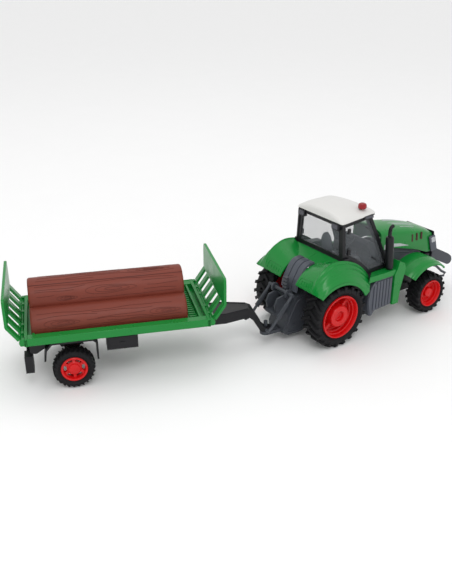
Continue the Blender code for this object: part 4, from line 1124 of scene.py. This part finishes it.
# Each visible log face: the log's centre, its grain lines as (angle, start, end), and its
# knots as (x, angle, half-length, half-height in degrees).
LOG_FACES = [
    ((-LOG_SPREAD, LOG_LOW_Z), [
        (127, -34, 112), (136, 24, 90), (141, -34, 30), (152, 30, 82), (159, 18, 90),
        (165, 40, 122), (172, -34, 118), (181, -20, 120),
    ], [(-8, 160, 19, 10), (104, 153, 17, 9)]),
    ((0.0, LOG_TOP_Z), [
        (130, -34, 118), (139, -34, 20), (140, 82, 122), (149, -34, 8), (152, 88, 122),
        (160, -32, -14), (166, 84, 120), (177, 12, 120),
    ], [(48, 155, 28, 13), (0, 172, 11, 7)]),
    ((0.0, LOG_TOP_Z), [
        (110, -32, 30), (103, 0, 120), (94, -30, 60), (84, -20, 80), (74, 10, 118), (65, -30, 60),
    ], [(92, 96, 24, 7)]),
    ((0.0, LOG_TOP_Z), [
        (50, -30, 118), (41, -34, 30), (28, 84, 120), (14, -20, 118), (4, 10, 118),
    ], [(60, 30, 26, 12)]),
    ((LOG_SPREAD, LOG_LOW_Z), [
        (53, -34, 112), (42, -34, 40), (28, 60, 118), (12, -30, 118), (0, 20, 118),
    ], [(20, 27, 20, 10)]),
]


EAR_PIVOT = 2.6


def trailer_deck():
    """Tray with rounded rails, ribbed floor, inner end bars, gate ears and screws."""
    deck = Shape(TRAILER)
    half, base, top, floor = BED_HALF, BED_BOTTOM_Z, BED_TOP_Z, BED_FLOOR_Z
    deck.box((BED_REAR_X + 1, 1 - half, base + 0.3), (BED_FRONT_X - 1, half - 1, floor))
    rail = [
        (half - BED_LEDGE, base + 1), (half - 0.6, base), (half, base + 0.8), (half, top - 0.5),
        (half - 0.5, top), (half - 1.4, top), (half - 1.8, top - 0.7),
        (half - BED_LEDGE, top - 0.8),
    ]
    for side in (1, -1):
        deck.prism([(side * y, z) for y, z in rail], BED_REAR_X, BED_FRONT_X, "yz")
    for out, end in ((1, BED_FRONT_X), (-1, BED_REAR_X)):
        deck.box((end - out * BED_RAIL, -half, base), (end, half, top))
        deck.box((end - out * 11.0, 8 - half, floor - 1), (end - out * 8.6, half - 8, top - 1.2))
        ear = [
            (-2.0, base + 0.8), (EAR_PIVOT + 1.6, base + 0.8), (EAR_PIVOT + 2.8, 64.2),
            (EAR_PIVOT + 1.0, top), (-2.0, top),
        ]
        deck.pair(rounded([(end + out * x, z) for x, z in ear], 1.2), 49.4, 54.6)
    for k in range(17):
        y = -42.0 + 5.25 * k
        deck.box((131.5, y - 1.1, floor - 0.6), (140.6, y + 1.1, floor + 1.7))
        deck.box((-40.6, y - 1.1, floor - 0.6), (-37.8, y + 1.1, floor + 0.2))
    deck.stand_in("trailer_bed", "green_plastic", "trailer", bevel=0.5)

    screws = Shape(TRAILER)
    recess = Shape(TRAILER)
    for side in (1, -1):
        for x in (-11.3, 48.3, 109.0):
            spot = Vector((x, side * 50.0, top - 1.1))
            screws.dome(spot, 2.0, 0.75, (0, 0, 1), 20)
            recess.washer(spot, 2.0, 2.75, 0.5)
            for across in (Vector((1.1, 0, 0)), Vector((0, 1.1, 0))):
                slot = spot + Vector((0, 0, 0.62))
                recess.rod(slot - across, slot + across, 0.22, 6)
    screws.make("bed_screws", "green_plastic", "trailer", smooth=40)
    recess.make("bed_screw_rings", "green_plastic", "trailer", smooth=40)


GATE_OUT = 16.1
GATE_UP = 15.4
GATE_TALL = 31.5
GATE_THICK = 3.0
GATE_SLOT = 11.6
GATE_SLOTS = 5
GATE_PIVOT_OUT = 2.6
GATE_PIVOT_Z = 64.2
# The cut corners: (in from the side, row from the top) to how far the point moves in.
GATE_CORNER = {(0.0, 1): 3.4, (0.0, 2): 2.2, (0.0, 3): 0.7, (2.2, 1): 1.6, (2.2, 2): 0.8}


def trailer_gates():
    """Bent end gates: five tall slots in the slope, and an upright panel with cut corners."""
    bar = (2 * BED_HALF - GATE_SLOTS * GATE_SLOT) / (GATE_SLOTS + 1)
    columns = [-BED_HALF, -BED_HALF + 2.2, -BED_HALF + 7.0]
    for slot in range(GATE_SLOTS):
        start = -BED_HALF + bar + slot * (bar + GATE_SLOT)
        columns += [start, start + GATE_SLOT]
    columns += [BED_HALF - 7.0, BED_HALF - 2.2, BED_HALF]
    bend = Vector((GATE_OUT - GATE_PIVOT_OUT, GATE_UP + BED_TOP_Z - GATE_PIVOT_Z))
    square = Vector((bend.y, -bend.x)).normalized()
    rows = [(bend * t, square) for t in (0.08, 0.17, 0.95)]
    rows.append((bend + Vector((0.15, 0.9)), Vector((1.0, -0.12)).normalized()))
    for up in (3.0, GATE_TALL - 8.0, GATE_TALL - 3.0, GATE_TALL - 0.8, GATE_TALL - 0.05):
        rows.append((bend + Vector((0, up)), Vector((1.0, 0.0))))

    def keep(i, j):
        if i == 1:
            return not (3 <= j <= 2 * GATE_SLOTS + 1 and j % 2)
        return i > 1 or 1 < j < len(columns) - 3

    for name, end, out in (("front_gate", BED_FRONT_X, 1), ("rear_gate", BED_REAR_X, -1)):
        pivot_x = end + out * GATE_PIVOT_OUT
        grids = []
        for face in (0.5, -0.5):
            grid = []
            for up, (spot, normal) in zip(range(len(rows), 0, -1), rows):
                spot = spot + normal * GATE_THICK * face
                tucks = (GATE_CORNER.get((round(BED_HALF - abs(y), 1), up), 0.0) for y in columns)
                grid.append([
                    (pivot_x + out * spot.x, y - copysign(tuck, y), GATE_PIVOT_Z + spot.y)
                    for y, tuck in zip(columns, tucks)
                ])
            grids.append(grid)
        shape = Shape(TRAILER)
        shape.sheet(*grids, keep)
        path = [(pivot_x, y, GATE_PIVOT_Z) for y in (-53.4, -48.9, -48.8, 48.8, 48.9, 53.4)]
        shape.sweep(path, [1.2, 1.2, 2.2, 2.2, 1.2, 1.2], 20)
        knuckle = tablet(pivot_x - 3.0, GATE_PIVOT_Z - 3.2, pivot_x + 3.0, GATE_PIVOT_Z + 3.2, 1.4)
        for y in (14, 33):
            shape.pair(knuckle, y, y + 5)
        shape.stand_in(name, "green_plastic", name, smooth=38, bevel=0.9, segments=3)


def trailer_details():
    """Drawbar trim with its raised rails and peg, tool box lids, spring packs and brackets."""
    trim = Shape(TRAILER)
    beam = ((60, 33, 40.5), (104, 29, 34), (158, 9, 14))
    for side in (1, -1):
        rail = [(160.4, side * 15.8, 52.1), (178, side * 15.8, 52.1), (207, side * 7.6, 51.8)]
        trim.sweep(rail, 0.8, 10)
        trim.loft([
            [(x, side * y, z) for y, z in rectangle(near, 51.5, far, 59.0)] for x, near, far in beam
        ])
    trim.rod((206, 0, 41), (206, 0, 33.5), 1.8, 16)
    trim.make("drawbar_trim", "black_plastic", "trailer", smooth=40, bevel=0.3)

    lids = Shape(TRAILER)
    lids.pair(tablet(39.2, 43.6, 68.8, 56.8, 1.2), 49.6, 50.7)
    lids.pair(tablet(51, 48.6, 57, 50.6, 0.8), 50.0, 51.4)
    bracket = [(-44.5, 59.0), (-44.5, 46.0), (-38.0, 44.5), (-29.0, 50.0), (-26.5, 59.0)]
    lids.pair(rounded(bracket, 1.5), 31.0, 46.0)
    for side in (1, -1):
        for leaf in range(3):
            lids.sweep([
                (x * (1 - 0.18 * leaf), side * 30.6, 46.5 + 0.010 * x ** 2 - 1.7 * leaf)
                for x in range(-16, 17, 4)
            ], 0.8, 8)
    lids.make("trailer_trim", "black_plastic", "trailer", smooth=38, bevel=0.2)


# ---------------------------------------------------------------- camera, light and floor

# Camera of the reference view, in the tractor's frame, in millimetres and degrees.
CAMERA_PLACE = (-555.7, -630.4, 448.7)
CAMERA_HEADING = (0.5649, 0.8252)
CAMERA_PITCH = 25.58
CAMERA_LENS = 45.8

# Name, place and diameter in metres, and power in watts.
LIGHTS = (
    ("key", (-0.6, -1.1, 1.5), 0.7, 7),
    ("fill", (-1.3, 0.3, 0.9), 1.2, 1.0),
    ("top", (0.3, 0.4, 1.7), 1.2, 2.5),
)
LIGHT_TARGET = (0, 0, 0.05)
WORLD_STRENGTH = 0.9
FLOOR_REACH = 6.0
FLOOR_DROP = 0.0002


def aim(obj, direction):
    obj.rotation_euler = direction.to_track_quat("-Z", "Y").to_euler()


def add_camera():
    data = bpy.data.cameras.new("camera")
    data.sensor_width = 36
    data.sensor_fit = "AUTO"
    data.lens = CAMERA_LENS
    data.clip_start = 0.01
    camera = add_object("camera", data)
    camera.location = TRACTOR @ Vector(CAMERA_PLACE)
    drop = radians(CAMERA_PITCH)
    aim(camera, Vector((*(c * cos(drop) for c in CAMERA_HEADING), -sin(drop))))
    bpy.context.scene.camera = camera


def add_light(name, place, size, power):
    data = bpy.data.lights.new(name, "AREA")
    data.shape = "DISK"
    data.size = size
    data.energy = power
    light = add_object(name, data)
    light.location = place
    aim(light, Vector(LIGHT_TARGET) - Vector(place))


def add_stage():
    """A seamless white floor, broad soft lights and a white world."""
    mesh = bpy.data.meshes.new("floor")
    corners = rectangle(-FLOOR_REACH, -FLOOR_REACH, FLOOR_REACH, FLOOR_REACH)
    mesh.from_pydata([(x, y, 0) for x, y in corners], [], [(0, 1, 2, 3)])
    floor = add_object("floor", mesh)
    floor.location.z = -FLOOR_DROP
    mesh.materials.append(moulded("floor_paper", (0.93, 0.93, 0.93), 0.7, vary=0.01, grain=0.0))

    world = bpy.data.worlds.new("studio")
    world.use_nodes = True
    background = world.node_tree.nodes["Background"]
    background.inputs["Color"].default_value = (1.0, 1.0, 1.0, 1)
    background.inputs["Strength"].default_value = WORLD_STRENGTH
    bpy.context.scene.world = world
    for light in LIGHTS:
        add_light(*light)
    bpy.context.scene.view_settings.view_transform = "Standard"


# ---------------------------------------------------------------- run

finish_cad_nodes()
wheels()
rear_fenders()
front_fenders()
cab_roof()
cab_fittings()
cab_inside()
exhaust()
hood_shell()
nose_details()
rear_cover()
rear_details()
log_bundle()
log_grain_and_crease_shade()
trailer_deck()
trailer_gates()
trailer_details()
add_camera()
add_stage()
